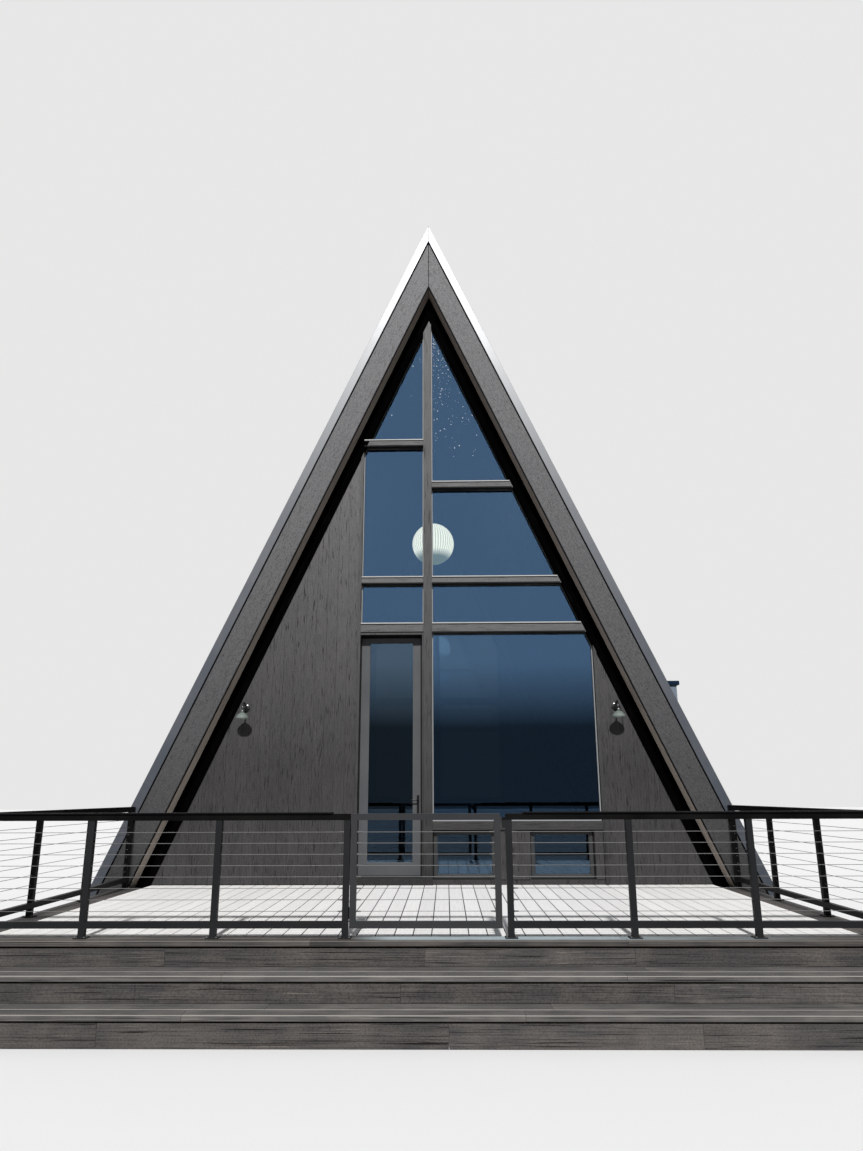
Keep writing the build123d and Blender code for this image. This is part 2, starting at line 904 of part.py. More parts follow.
# Railing
rail_top_z = deck_height + rail_top_height
tube_top_z = rail_top_z - cap_thickness
tube_base_z = tube_top_z - post_size
bottom_rail_z = deck_height + bottom_rail_gap
half_post = post_size / 2
half_plate = plate_size / 2
half_cap = cap_width / 2
rail_side_x = deck_half_width - rail_side_inset
rail_rear_y = roof_front_y - rail_end_gap - half_plate
side_bay = (rail_rear_y - rail_y) / side_bay_count
gate_left_post = gate_centre - gate_half_width
gate_right_post = gate_centre + gate_half_width
left_bays = [gate_left_post - left_front_bay * i for i in (2, 1, 0)]
right_bays = [gate_right_post + right_front_bay * i for i in (0, 1, 2)]
left_posts = [-rail_side_x] + left_bays
right_posts = right_bays + [rail_side_x]
side_posts = [rail_y + side_bay * (i + 1) for i in range(side_bay_count)]
cable_heights = [deck_height + cable_first_height + cable_spacing * i for i in range(cable_count)]


def post_at(x, y):
    """Add a square post and its base plate."""
    block(x - half_post, x + half_post, y - half_post, y + half_post, deck_height, tube_top_z)
    plate_top_z = deck_height + plate_thickness
    block(x - half_plate, x + half_plate, y - half_plate, y + half_plate, deck_height, plate_top_z)


def front_run(posts):
    """Add one half of the front railing between its first and last post."""
    for x in posts:
        post_at(x, rail_y)
    for base in (bottom_rail_z, tube_base_z):
        block(posts[0], posts[-1], rail_y - half_post, rail_y + half_post, base, base + post_size)
    clear_run = posts[-1] - posts[0] - post_size
    holes = [(rail_y, z) for z in cable_heights]
    wires(Plane.YZ.offset(posts[0] + half_post), holes, cable_hole_diameter, clear_run, mode=Mode.SUBTRACT)


gate_hinge_x = gate_left_post + half_post + gate_hinge_gap / 2
gate_hinge_y = rail_y + half_post + knuckle_radius
gate_hinge_places = [bottom_rail_z + gate_hinge_margin, tube_base_z - gate_hinge_margin - gate_hinge_length]
latch_base_z = tube_base_z - latch_height / 2

with BuildPart() as railing_front_left:
    front_run(left_posts)
    for z in gate_hinge_places:
        hinge_fixed(gate_hinge_x, gate_hinge_y, z, gate_hinge_length, -1)
save(railing_front_left, "railing_front_left")

with BuildPart() as railing_front_right:
    front_run(right_posts)
    strike_x = gate_right_post - half_post
    block(
        strike_x - strike_width,
        strike_x,
        rail_y - half_post,
        rail_y - half_post + strike_thickness,
        latch_base_z - latch_height,
        latch_base_z + latch_height,
    )
save(railing_front_right, "railing_front_right")


def side_run(x):
    """Add one side railing, from beside the corner post back to the house."""
    for y in side_posts:
        post_at(x, y)
    front = rail_y + half_post + fit
    for base in (bottom_rail_z, tube_base_z):
        block(x - half_post, x + half_post, front, rail_rear_y, base, base + post_size)
    holes = [(x, z) for z in cable_heights]
    clear_run = rail_rear_y - half_post - front
    wires(gable_plane(rail_rear_y - half_post), holes, cable_hole_diameter, clear_run, mode=Mode.SUBTRACT)


with BuildPart() as railing_side_left:
    side_run(-rail_side_x)
save(railing_side_left, "railing_side_left")

with BuildPart() as railing_side_right:
    side_run(rail_side_x)
save(railing_side_right, "railing_side_right")

with BuildPart() as cap_rails:
    cap_end = half_post + cap_stop
    front_caps = (
        (-rail_side_x - half_cap, gate_left_post - cap_end),
        (gate_right_post + cap_end, rail_side_x + half_cap),
    )
    for x0, x1 in front_caps:
        block(x0, x1, rail_y - half_cap, rail_y + half_cap, tube_top_z, rail_top_z)
    for x in (-rail_side_x, rail_side_x):
        block(
            x - half_cap,
            x + half_cap,
            rail_y + half_cap + fit,
            rail_rear_y + half_post,
            tube_top_z,
            rail_top_z,
        )
save(cap_rails, "cap_rails")

with BuildPart() as railing_cables:
    front_wires = [(rail_y, z) for z in cable_heights]
    for posts in (left_posts, right_posts):
        clear_run = posts[-1] - posts[0] - post_size - 2 * fit
        wires(Plane.YZ.offset(posts[0] + half_post + fit), front_wires, cable_diameter, clear_run)
    side_wires = [(x, z) for z in cable_heights for x in (-rail_side_x, rail_side_x)]
    side_end_y = rail_rear_y - half_post - fit
    wires(gable_plane(side_end_y), side_wires, cable_diameter, side_end_y - rail_y - half_post - fit)
save(railing_cables, "railing_cables")

# Gate
gate_left_x = gate_left_post + half_post + gate_hinge_gap
gate_right_x = gate_right_post - half_post - gate_latch_gap
gate_width = gate_right_x - gate_left_x
gate_height = tube_top_z - bottom_rail_z
with BuildPart() as gate_frame:
    with BuildSketch(gable_plane(rail_y + gate_tube / 2)) as gate_profile:
        with Locations(((gate_left_x + gate_right_x) / 2, (bottom_rail_z + tube_top_z) / 2)):
            Rectangle(gate_width, gate_height)
            Rectangle(gate_width - 2 * gate_tube, gate_height - 2 * gate_tube, mode=Mode.SUBTRACT)
    extrude(gate_profile.sketch, amount=gate_tube)
    for z in gate_hinge_places:
        hinge_moving(gate_hinge_x, gate_hinge_y, z, gate_hinge_length, 1)
    block(
        gate_right_x,
        gate_right_x + gate_latch_gap - latch_clearance,
        rail_y - latch_thickness / 2,
        rail_y + latch_thickness / 2,
        latch_base_z,
        latch_base_z + latch_height,
    )
save(gate_frame, "gate_frame")

with BuildPart() as gate_cables:
    gate_wires = [(rail_y, z) for z in cable_heights]
    clear_run = gate_width - 2 * gate_tube - 2 * fit
    wires(Plane.YZ.offset(gate_left_x + gate_tube + fit), gate_wires, cable_diameter, clear_run)
save(gate_cables, "gate_cables")

# Lamps
lamp_y = wall_y - lamp_reach
plate_y = wall_y - lamp_plate_thickness
plate_z = deck_height + lamp_plate_height
shade_base_z = deck_height + lamp_shade_base
shade_top_z = shade_base_z + lamp_shade_height
lamp_x = half_width(plate_z + lamp_plate_radius, frame_line) - lamp_plate_radius - lamp_side_gap
shoulder_z = shade_base_z + 0.55 * lamp_shade_height
shoulder_radius = 0.74 * lamp_shade_radius
shade_outline = [
    (0, shade_top_z),
    (lamp_neck_radius, shade_top_z),
    (shoulder_radius, shoulder_z),
    (lamp_shade_radius, shade_base_z),
    (lamp_shade_radius - lamp_shade_wall, shade_base_z),
    (shoulder_radius - lamp_shade_wall, shoulder_z - lamp_shade_wall),
    (lamp_neck_radius, shade_top_z - 2 * lamp_shade_wall),
    (0, shade_top_z - 2 * lamp_shade_wall),
]
with BuildPart() as wall_lamps:
    for x in (-lamp_x, lamp_x):
        rod(gable_plane(wall_y), [(x, plate_z)], lamp_plate_radius, lamp_plate_thickness)
        with BuildLine() as arm_line:
            Spline(
                (x, plate_y, plate_z),
                (x, (plate_y + lamp_y) / 2, plate_z + lamp_arm_rise),
                (x, lamp_y, shade_top_z),
                tangents=((0, -1, 0.4), (0, 0, -1)),
            )
        with BuildSketch(Plane(origin=(x, plate_y, plate_z), z_dir=arm_line.line % 0)) as arm_end:
            RegularPolygon(lamp_arm_radius, 8)
        sweep(arm_end.sketch, path=arm_line.line)
        with BuildSketch(gable_plane(lamp_y)) as shade_profile:
            with Locations((x, 0)):
                Polygon(*shade_outline)
        revolve(shade_profile.sketch, axis=Axis((x, lamp_y, 0), (0, 0, 1)))
save(wall_lamps, "wall_lamps")

with BuildPart() as pendant_lamp:
    globe_y = wall_y + globe_setback
    rose_top_z = height_at(rose_radius, inner_line)
    cord_base_z = globe_height + globe_radius
    rod(Plane.XY.offset(cord_base_z), [(0, globe_y)], cord_radius, rose_top_z - cord_base_z)
    rod(Plane.XY.offset(rose_top_z - rose_height), [(0, globe_y)], rose_radius, rose_height)
    hoop_angles = [pi * i / globe_hoops for i in range(globe_hoops + 1)]
    globe_outline = [(globe_radius * sin(a), globe_height + globe_radius * cos(a)) for a in hoop_angles]
    with BuildSketch(gable_plane(globe_y)) as globe_profile:
        Polygon(*globe_outline)
    revolve(globe_profile.sketch, axis=Axis((0, globe_y, 0), (0, 0, 1)))
save(pendant_lamp, "pendant_lamp")
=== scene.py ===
# %% [markdown]
# # A steep A-frame cabin with a glazed gable
# The cabin is two roof slopes that meet at the ridge and come down almost to the ground. Its front
# gable is a timber frame with glass in it, and a railed deck with full-width steps lies before it.
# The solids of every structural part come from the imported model. This script gives them their looks:
# boards where the solids have slabs, beads round the panes, turned lamps, and a finish for each surface.

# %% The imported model
import json
import math

import bmesh
import bpy
import numpy as np
from mathutils import Matrix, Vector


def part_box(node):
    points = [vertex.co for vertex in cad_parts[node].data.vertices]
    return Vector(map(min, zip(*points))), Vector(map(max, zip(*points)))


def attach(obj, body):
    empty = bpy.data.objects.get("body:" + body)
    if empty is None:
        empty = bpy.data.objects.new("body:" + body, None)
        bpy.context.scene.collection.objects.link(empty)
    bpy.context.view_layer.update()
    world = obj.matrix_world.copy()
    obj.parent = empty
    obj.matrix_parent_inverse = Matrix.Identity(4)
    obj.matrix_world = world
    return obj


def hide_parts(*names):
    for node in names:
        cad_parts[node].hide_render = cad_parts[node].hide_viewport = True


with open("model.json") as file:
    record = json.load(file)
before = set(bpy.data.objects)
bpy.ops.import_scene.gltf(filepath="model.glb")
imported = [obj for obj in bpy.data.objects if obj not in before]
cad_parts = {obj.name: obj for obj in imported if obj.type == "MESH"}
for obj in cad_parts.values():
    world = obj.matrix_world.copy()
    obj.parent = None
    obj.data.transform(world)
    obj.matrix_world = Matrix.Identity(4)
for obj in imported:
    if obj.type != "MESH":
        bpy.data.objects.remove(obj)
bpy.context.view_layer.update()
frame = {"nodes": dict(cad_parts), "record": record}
scene = bpy.context.scene
chance = np.random.default_rng(7)

# %% [markdown]
# ## Where things are
# Blender works in metres, in the frame of the solids. A box of a node gives the planes that new
# pieces stand on, so that nothing is placed by eye. The slope of the roof is the one number that
# many pieces share: every board and pane in the gable is cut to it.

# %% Planes and the slope
def low(node):
    """The lowest corner of a node's box."""
    return np.array(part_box(node)[0])


def high(node):
    """The highest corner of a node's box."""
    return np.array(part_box(node)[1])


def ends(node):
    """Both corners of a node's box."""
    return low(node), high(node)


ridge_height = 9.957
half_base = 4.396
slope = math.atan(half_base / ridge_height)
frame_line = 0.585
wall_front = low("front_wall")[1]
rear_wall_face = high("rear_wall")[1]
deck_top = high("deck_floor")[2]
deck_front = low("deck_border")[1]
print("wall face", wall_front, "deck top", deck_top, "slope", math.degrees(slope))


def half_width(height, depth):
    """Half the roof's width at a height, at a depth below its outer surface: the run left over
    under the ridge, times the tangent of the slope."""
    return (ridge_height - depth / math.sin(slope) - height) * math.tan(slope)


def height_at(x, depth):
    """The height of the roof at x from the axis, at a depth below its outer surface."""
    return ridge_height - depth / math.sin(slope) - np.abs(x) / math.tan(slope)


# %% [markdown]
# ## The camera
# The photograph was taken from before the steps, with the camera tilted up. Its place, tilt and focal
# length were worked out from the deck and the gable. The three directions of the camera are its
# columns: right, up, and back.

# %% The camera
photo_height = 1151
focal_pixels = 806.0
sensor = 36.0
eye = np.array([0.200, wall_front - 10.671, 1.68])
pitch, yaw, roll = (math.radians(a) for a in (15.179, 0.9405, -0.189))
level = np.array([-math.sin(yaw), math.cos(yaw), 0.0])
side = np.array([math.cos(yaw), math.sin(yaw), 0.0])
forward = level * math.cos(pitch) + np.array([0, 0, 1.0]) * math.sin(pitch)
upward = np.cross(side, forward)
side, upward = (
    side * math.cos(roll) + upward * math.sin(roll),
    upward * math.cos(roll) - side * math.sin(roll),
)


def put(name, data):
    """A new object in the scene."""
    item = bpy.data.objects.new(name, data)
    scene.collection.objects.link(item)
    return item


camera = put("camera", bpy.data.cameras.new("camera"))
turn = np.eye(4)
turn[:3, 0], turn[:3, 1], turn[:3, 2], turn[:3, 3] = side, upward, -forward, eye
camera.matrix_world = Matrix(turn.tolist())
camera.data.sensor_fit = "VERTICAL"
camera.data.sensor_height = sensor
camera.data.lens = focal_pixels * sensor / photo_height
camera.data.clip_end = 300
scene.camera = camera
print("lens", round(camera.data.lens, 2), "mm at", eye)

# %% [markdown]
# ## Building nodes in few lines
# A finish is a tree of nodes. One helper adds a node, sets its options, and either links an input or
# gives it a value, so that each material reads like a list of what it is made of.

# %% Node helpers
def add(tree, kind, inputs=None, **options):
    """Adds a node. An input given a socket is linked, and any other value is set on it."""
    node = tree.nodes.new(kind)
    for option, value in options.items():
        setattr(node, option, value)
    for key, value in (inputs or {}).items():
        if isinstance(value, bpy.types.NodeSocket):
            tree.links.new(value, node.inputs[key])
        else:
            node.inputs[key].default_value = value
    return node


def math_of(tree, operation, first, second):
    """One step of arithmetic on sockets or numbers."""
    return add(tree, "ShaderNodeMath", {0: first, 1: second}, operation=operation).outputs[0]


def times(tree, first, second):
    """Two sockets or numbers multiplied."""
    return math_of(tree, "MULTIPLY", first, second)


def vector_of(tree, operation, first, second):
    """One step of vector arithmetic on sockets or triples."""
    return add(tree, "ShaderNodeVectorMath", {0: first, 1: second}, operation=operation).outputs[0]


def mixed(tree, share, first, second):
    """Two colours mixed by a share."""
    return add(tree, "ShaderNodeMix", {0: share, 6: first, 7: second}, data_type="RGBA").outputs[2]


def spread(tree, value, low_in, high_in, low_out=0.0, high_out=1.0):
    """A value stretched from one range to another, and held inside it."""
    inputs = {0: value, 1: low_in, 2: high_in, 3: low_out, 4: high_out}
    return add(tree, "ShaderNodeMapRange", inputs).outputs[0]


def noise(tree, place, scale, detail=4.0, roughness=0.55):
    """Soft random blotches, from 0 to 1."""
    inputs = {"Vector": place, "Scale": scale, "Detail": detail, "Roughness": roughness}
    return add(tree, "ShaderNodeTexNoise", inputs).outputs["Fac"]


def place_in(tree):
    """The place of a point, on Object coordinates."""
    return add(tree, "ShaderNodeTexCoord").outputs["Object"]


def parts(tree, place):
    """The x, y and z of a place."""
    return add(tree, "ShaderNodeSeparateXYZ", {0: place}).outputs


def joined(tree, x, y, z):
    """A place from its x, y and z."""
    return add(tree, "ShaderNodeCombineXYZ", {0: x, 1: y, 2: z}).outputs[0]


def mark(tree, name):
    """A number that a mesh keeps for each face."""
    return add(tree, "ShaderNodeAttribute", attribute_name=name).outputs["Fac"]


print("node helpers ready")

# %% [markdown]
# A shared effect is a node group with named inputs and outputs. A material starts from plain values on
# its shader, places the group with its own inputs, and feeds what comes out to three sockets.

# %% Groups and materials
FLOAT, COLOR, VECTOR = "NodeSocketFloat", "NodeSocketColor", "NodeSocketVector"


def new_group(name, colours, values):
    """A group whose inputs are a place, colours, and values with what they start from. It puts out
    a colour, a roughness and a height."""
    group = bpy.data.node_groups.new(name, "ShaderNodeTree")
    kinds = {"Vector": VECTOR, **dict.fromkeys(colours, COLOR), **dict.fromkeys(values, FLOAT)}
    for label, kind in kinds.items():
        made = group.interface.new_socket(label, in_out="INPUT", socket_type=kind)
        if label in values:
            made.default_value = values[label]
    for label, kind in (("Color", COLOR), ("Roughness", FLOAT), ("Height", FLOAT)):
        group.interface.new_socket(label, in_out="OUTPUT", socket_type=kind)
    return group, add(group, "NodeGroupInput").outputs, add(group, "NodeGroupOutput").inputs


def finish(name, plain):
    """A material whose shader has these plain values on its sockets."""
    material = bpy.data.materials.new(name)
    material.use_nodes = True
    shader = material.node_tree.nodes["Principled BSDF"]
    for key, value in plain.items():
        shader.inputs[key].default_value = value
    return material, material.node_tree, shader


def bumped(tree, shader, height, distance, strength=1.0):
    """Feeds a height to the shader as a bump."""
    inputs = {"Height": height, "Distance": distance, "Strength": strength}
    tree.links.new(add(tree, "ShaderNodeBump", inputs).outputs[0], shader.inputs["Normal"])


def covered(tree, shader, group, inputs, depth):
    """Feeds a group to the shader: its colour, its roughness, and its height as a bump."""
    effect = add(tree, "ShaderNodeGroup", inputs, node_tree=group).outputs
    tree.links.new(effect["Color"], shader.inputs["Base Color"])
    tree.links.new(effect["Roughness"], shader.inputs["Roughness"])
    bumped(tree, shader, effect["Height"], depth)


print("group and material helpers ready")

# %% [markdown]
# ## Stained timber
# Nearly all of this cabin is stained timber: charcoal boards on the gable, the fascias and the steps.
# Real boards show three things: long streaks of grain, short dark checks where the fibres opened,
# and pale scratches where the stain has gone. All three are noise stretched along the board, so one
# group serves every timber here, with its own colours, and each board shifts the pattern by its own
# number, because no two boards come from the same place in the tree.

# %% The timber group
start_values = {
    "Width": 0.01, "Length": 0.4, "Checks": 0.5, "Flecks": 0.0, "Scratches": 0.2, "Worn edge": 0.3,
    "Board spread": 0.2, "Overlay": 0.0,
}
colours = ("Base", "Dark", "Pale", "Overlay colour")
timber_group, given, made = new_group("stained timber", colours, start_values)
tree = timber_group
check_black, shade_black = (0.008, 0.007, 0.007, 1), (0.003, 0.003, 0.003, 1)
tone = mark(tree, "tone")
cell = joined(tree, given["Width"], given["Width"], given["Length"])
grain_place = vector_of(tree, "DIVIDE", given["Vector"], cell)
own_place = {0: (17.3, 9.1, 31.7), "Scale": tone}
shift = add(tree, "ShaderNodeVectorMath", own_place, operation="SCALE").outputs[0]
grain_place = vector_of(tree, "ADD", grain_place, shift)
streak = noise(tree, grain_place, 1.0, 6.0, 0.7)
check = spread(tree, noise(tree, grain_place, 0.85, 2.0, 0.5), 0.62, 0.67)
fleck = spread(tree, noise(tree, given["Vector"], 78.0, 2.0, 0.6), 0.46, 0.66)
scratch_place = vector_of(tree, "ADD", grain_place, (40, 7, 3))
scratch = spread(tree, noise(tree, scratch_place, 1.3, 3.0, 0.6), 0.66, 0.71)
blotch = noise(tree, vector_of(tree, "ADD", given["Vector"], shift), 1.9, 4.0, 0.6)
colour = mixed(tree, spread(tree, streak, 0.38, 0.62), given["Dark"], given["Base"])
colour = mixed(tree, spread(tree, blotch, 0.45, 0.7, 0.0, 0.22), colour, given["Pale"])
overlay = times(tree, given["Overlay"], spread(tree, streak, 0.2, 0.7, 0.55, 1.0))
colour = mixed(tree, overlay, colour, given["Overlay colour"])
colour = mixed(tree, times(tree, check, given["Checks"]), colour, check_black)
colour = mixed(tree, times(tree, scratch, given["Scratches"]), colour, given["Pale"])
# Planed corners go pale: wear, and a painted highlight along the edges.
colour = mixed(tree, times(tree, mark(tree, "arris"), given["Worn edge"]), colour, given["Pale"])
off_middle = times(tree, math_of(tree, "SUBTRACT", tone, 0.5), given["Board spread"])
specked = times(tree, math_of(tree, "SUBTRACT", 0.5, fleck), given["Flecks"])
brightness = math_of(tree, "ADD", math_of(tree, "ADD", off_middle, 1.0), specked)
colour = add(tree, "ShaderNodeHueSaturation", {"Value": brightness, "Color": colour}).outputs[0]
# Painted shade: faces marked as shade, the undersides of softened solids, go nearly black.
colour = mixed(tree, times(tree, mark(tree, "shade"), 0.93), colour, shade_black)
tree.links.new(colour, made["Color"])
tree.links.new(spread(tree, streak, 0.3, 0.7, 0.72, 0.52), made["Roughness"])
tree.links.new(math_of(tree, "SUBTRACT", streak, times(tree, check, 0.7)), made["Height"])
print("timber nodes:", len(tree.nodes))

# %% [markdown]
# The group takes the grain to lie along z. A picture of wood could be wrapped round each board, but
# noise worked out from the place of a point needs no unwrapping and shows no seam. So a timber turns
# the place until its grain lies along z. A second colour takes a share that grows with the height.

# %% A timber, and a second colour by height
grain_depth = 0.0012
turned_axes = {"x": (1, 2, 0), "y": (0, 2, 1)}


def timber(name, base, dark, pale, along, width=0.010, length=0.35, overlay=None, sheen=0.12, **marks):
    """A stained timber whose grain runs along x, y, z or the roof's slope. A last function, if given,
    gives the share of a second colour from the place, and that colour."""
    material, tree, shader = finish(name, {"Specular IOR Level": sheen})
    place = place_in(tree)
    part = parts(tree, place)
    inputs = {"Base": (*base, 1), "Dark": (*dark, 1), "Pale": (*pale, 1), "Width": width, "Length": length}
    inputs.update({label.replace("_", " ").capitalize(): value for label, value in marks.items()})
    if overlay:
        inputs["Overlay"], inputs["Overlay colour"] = overlay(tree, part)
    inputs["Vector"] = place
    if along in turned_axes:
        inputs["Vector"] = joined(tree, *(part[axis] for axis in turned_axes[along]))
    if along == "slope":
        across = add(tree, "ShaderNodeMath", {0: part[0]}, operation="ABSOLUTE").outputs[0]
        turn_by = {"Vector": joined(tree, across, part[1], part[2]), "Rotation": (0, slope, 0)}
        inputs["Vector"] = add(tree, "ShaderNodeMapping", turn_by).outputs[0]
    covered(tree, shader, timber_group, inputs, grain_depth)
    return material


def higher_up(colour, start=0.3, end=9.3, amount=1.0):
    """A second colour over the timber by height: its share grows between two heights."""
    return lambda tree, part: (spread(tree, part[2], start, end, 0.0, amount), (*colour, 1))


def by_the_gate(tree, part):
    """A pale blue share on the polished border board by the gate: a painted reflection of the sky."""
    across = times(tree, spread(tree, part[0], -0.55, -0.25), spread(tree, part[0], 3.2, 1.2))
    patch = spread(tree, noise(tree, place_in(tree), 2.2), 0.25, 0.5, 0.6, 1.0)
    depth = spread(tree, part[1], float(deck_front) + 0.015, float(deck_front) + 0.06)
    return times(tree, times(tree, across, times(tree, patch, depth)), 0.95), (0.50, 0.58, 0.61, 1)


print("grain along:", *turned_axes, "z slope")

# %% [markdown]
# Each timber has a middle colour, a dark and a pale one, the way its grain runs, and the width and the
# length of its streaks. The gable was measured at several heights: its boards and fascias are paler
# and greyer near the top, and the soffit is darker there, a painted shade where the soffits close in
# under the apex.

# %% The timbers
wall_timber = timber(
    "wall boards", (0.041, 0.0392, 0.0400), (0.028, 0.0268, 0.0274), (0.070, 0.067, 0.068), "z", 0.011, 0.15,
    checks=0.8, flecks=0.5, scratches=0.35, worn_edge=0.05, board_spread=0.12,
    overlay=higher_up((0.210, 0.206, 0.210), 2.0, 9.3),
)
fascia_timber = timber(
    "fascia boards", (0.036, 0.0355, 0.0370), (0.031, 0.0306, 0.0318), (0.056, 0.0552, 0.0560), "slope",
    0.013, 0.08, checks=0.35, flecks=0.55, scratches=0.1, overlay=higher_up((0.215, 0.214, 0.219), 0.5, 9.5),
)
frame_upright = timber(
    "frame timber upright", (0.022, 0.0215, 0.0213), (0.013, 0.0127, 0.0127), (0.058, 0.0570, 0.0560), "z",
    0.012, 0.3, checks=0.6, flecks=0.4, overlay=higher_up((0.192, 0.191, 0.190)),
)
frame_level = timber(
    "frame timber level", (0.046, 0.0450, 0.0445), (0.030, 0.0294, 0.0290), (0.085, 0.0835, 0.0825), "x",
    0.012, 0.25, checks=0.5, flecks=0.5, overlay=higher_up((0.188, 0.186, 0.186), 1.5, 4.6, 0.85),
)
# Painted shade: the raking frame is made nearly black, for the shade under the roof's overhang.
raking_shade_timber = timber(
    "raking timber in painted shade", (0.0012, 0.0011, 0.0011), (0.001, 0.001, 0.001), (0.002, 0.002, 0.002), "slope",
    sheen=0.0,
)
# Darker towards the apex: painted shade where the two soffits close in under the ridge.
soffit_timber = timber(
    "soffit boards", (0.570, 0.500, 0.445), (0.390, 0.345, 0.305), (0.680, 0.620, 0.560), "slope", 0.02, 0.5,
    overlay=higher_up((0.426, 0.366, 0.323), 1.0, 6.0),
)
worn = [(0.086, 0.080, 0.076), (0.038, 0.037, 0.038), (0.26, 0.222, 0.19)]
step_timber = timber(
    "riser boards", *worn, "x", 0.008, 0.7,
    checks=0.95, flecks=0.4, scratches=0.8, worn_edge=0.6, board_spread=0.3,
)
tread_timber = timber(
    "tread boards", (0.150, 0.144, 0.139), (0.060, 0.058, 0.058), (0.38, 0.35, 0.32), "x", 0.008, 0.7,
    checks=0.8, scratches=0.9, worn_edge=0.7, board_spread=0.25,
)
border_timber = timber(
    "border boards", *worn, "x", 0.008, 0.7,
    checks=0.6, scratches=0.5, worn_edge=0.5, board_spread=0.3, overlay=by_the_gate,
)
side_timber = timber(
    "side boards", *worn, "y", 0.008, 0.7, checks=0.7, scratches=0.5, worn_edge=0.4, board_spread=0.4
)
deck_timber = timber(
    "pale deck boards", (0.95, 0.935, 0.915), (0.87, 0.85, 0.825), (0.97, 0.96, 0.95), "y", 0.012, 0.5,
    checks=0.04, scratches=0.1, worn_edge=0.0, board_spread=0.08,
)
joist_timber = timber("joists", (0.25, 0.19, 0.13), (0.17, 0.13, 0.09), (0.34, 0.27, 0.2), "x")
floor_timber = timber(
    "floor boards", (0.36, 0.24, 0.14), (0.25, 0.16, 0.09), (0.45, 0.32, 0.2), "y", 0.02, 0.8, checks=0.1
)
ceiling_timber = timber(
    "ceiling boards", (0.05, 0.04, 0.035), (0.03, 0.025, 0.02), (0.08, 0.065, 0.055), "y", 0.02, 0.5
)
print("timbers:", len(bpy.data.materials))

# %% [markdown]
# ## Painted metal, concrete, paper and glass
# Painted metal isn't one flat colour: dust lies on it in soft patches, which changes how sharp its
# shine is. The paint keeps plain values where it is even, and a dust group gives what varies.

# %% The dust group and the painted metals
dust_group, given, made = new_group("dusty paint", ("Paint", "Dust"), {"Amount": 0.2, "Gloss": 0.3})
tree = dust_group
clouds = spread(tree, noise(tree, given["Vector"], 2.3, 6.0, 0.6), 0.35, 0.75)
specks = noise(tree, given["Vector"], 90.0, 2.0, 0.5)
spots = times(tree, spread(tree, specks, 0.66, 0.72), given["Amount"])
cover = math_of(tree, "ADD", times(tree, clouds, given["Amount"]), spots)
tree.links.new(mixed(tree, cover, given["Paint"], given["Dust"]), made["Color"])
tree.links.new(math_of(tree, "ADD", given["Gloss"], times(tree, cover, 0.5)), made["Roughness"])
tree.links.new(specks, made["Height"])
dust, dust_depth = (0.3, 0.29, 0.27, 1), 0.0002


def painted(
    name, paint, amount=0.12, gloss=0.35, metallic=0.0, coat=0.0, sheen=0.25, shaded=None, above=None
):
    """A painted or bare metal with a little dust on it. The shaded colour is painted shade, on faces
    marked as shade, or on all that is above a height."""
    plain = {"Metallic": metallic, "Coat Weight": coat, "Coat Roughness": 0.12, "Specular IOR Level": sheen}
    material, tree, shader = finish(name, plain)
    place, colour = place_in(tree), (*paint, 1)
    if above:
        height = parts(tree, place)[2]
        colour = mixed(tree, spread(tree, height, above - 0.002, above + 0.002), colour, (*shaded, 1))
    elif shaded:
        colour = mixed(tree, mark(tree, "shade"), colour, (*shaded, 1))
    inputs = {"Vector": place, "Paint": colour, "Dust": dust, "Amount": amount, "Gloss": gloss}
    covered(tree, shader, dust_group, inputs, dust_depth)
    return material


# Painted shade for the sides of a glazing bead that lie under a rail or a slope.
bead_shade_paint = (0.008, 0.008, 0.009)
roof_metal = painted("slate roof metal", (0.050, 0.064, 0.080), gloss=0.36, sheen=0.35)
rake_metal = painted("glossy rake metal", (0.036, 0.043, 0.058), amount=0.08, gloss=0.36, sheen=0.8)
sash_paint = painted("charcoal sash paint", (0.063, 0.066, 0.071), amount=0.08, gloss=0.42)
awning_paint = painted("dark awning paint", (0.026, 0.027, 0.029), amount=0.05, gloss=0.42)
bead_paint = painted("grey glazing bead", (0.30, 0.305, 0.31), amount=0.25, gloss=0.4, shaded=bead_shade_paint)
low_bead = painted("dark glazing bead", (0.09, 0.092, 0.094), amount=0.06, gloss=0.4, shaded=bead_shade_paint)
sill_paint = painted("pale sill strip", (0.42, 0.42, 0.42), amount=0.3, gloss=0.4)
black_metal = painted("black hardware", (0.006, 0.006, 0.007), amount=0.02, gloss=0.22, coat=0.4)
rubber = painted("black rubber seal", (0.004, 0.004, 0.004), amount=0.02, gloss=0.6, sheen=0.1)
# Painted shade: all above a height just under the cap is nearly black, as in the cap's shadow.
railing_paint = painted(
    "black railing", (0.015, 0.016, 0.017), amount=0.02, gloss=0.45, sheen=0.06,
    shaded=(0.001, 0.001, 0.001), above=float(low("cap_rails")[2]) - 0.051,
)
cap_paint = painted("railing top", (0.004, 0.004, 0.005), amount=0.01, gloss=0.5, sheen=0.06)
gate_paint = painted("dark gate", (0.031, 0.032, 0.035), amount=0.03, gloss=0.45, sheen=0.15)
lever_black = painted("black lever", (0.003, 0.003, 0.003), amount=0.01, gloss=0.3, sheen=0.3)
cable_metal = painted("stranded cable", (0.13, 0.13, 0.13), amount=0.2, gloss=0.5, metallic=0.3)
lamp_metal = painted(
    "pale green lamp shade", (0.155, 0.185, 0.168), amount=0.08, gloss=0.2, sheen=0.6, coat=0.3
)
dormer_paint = painted("dormer panel", (0.155, 0.190, 0.235), gloss=0.45)
navy_metal = painted("dormer cap", (0.003, 0.014, 0.034), amount=0.01, gloss=0.4, sheen=0.08)
speck_finish = painted("dried rain", (0.74, 0.78, 0.82), amount=0.0, gloss=0.6, sheen=0.1)
print("finishes:", len(bpy.data.materials))
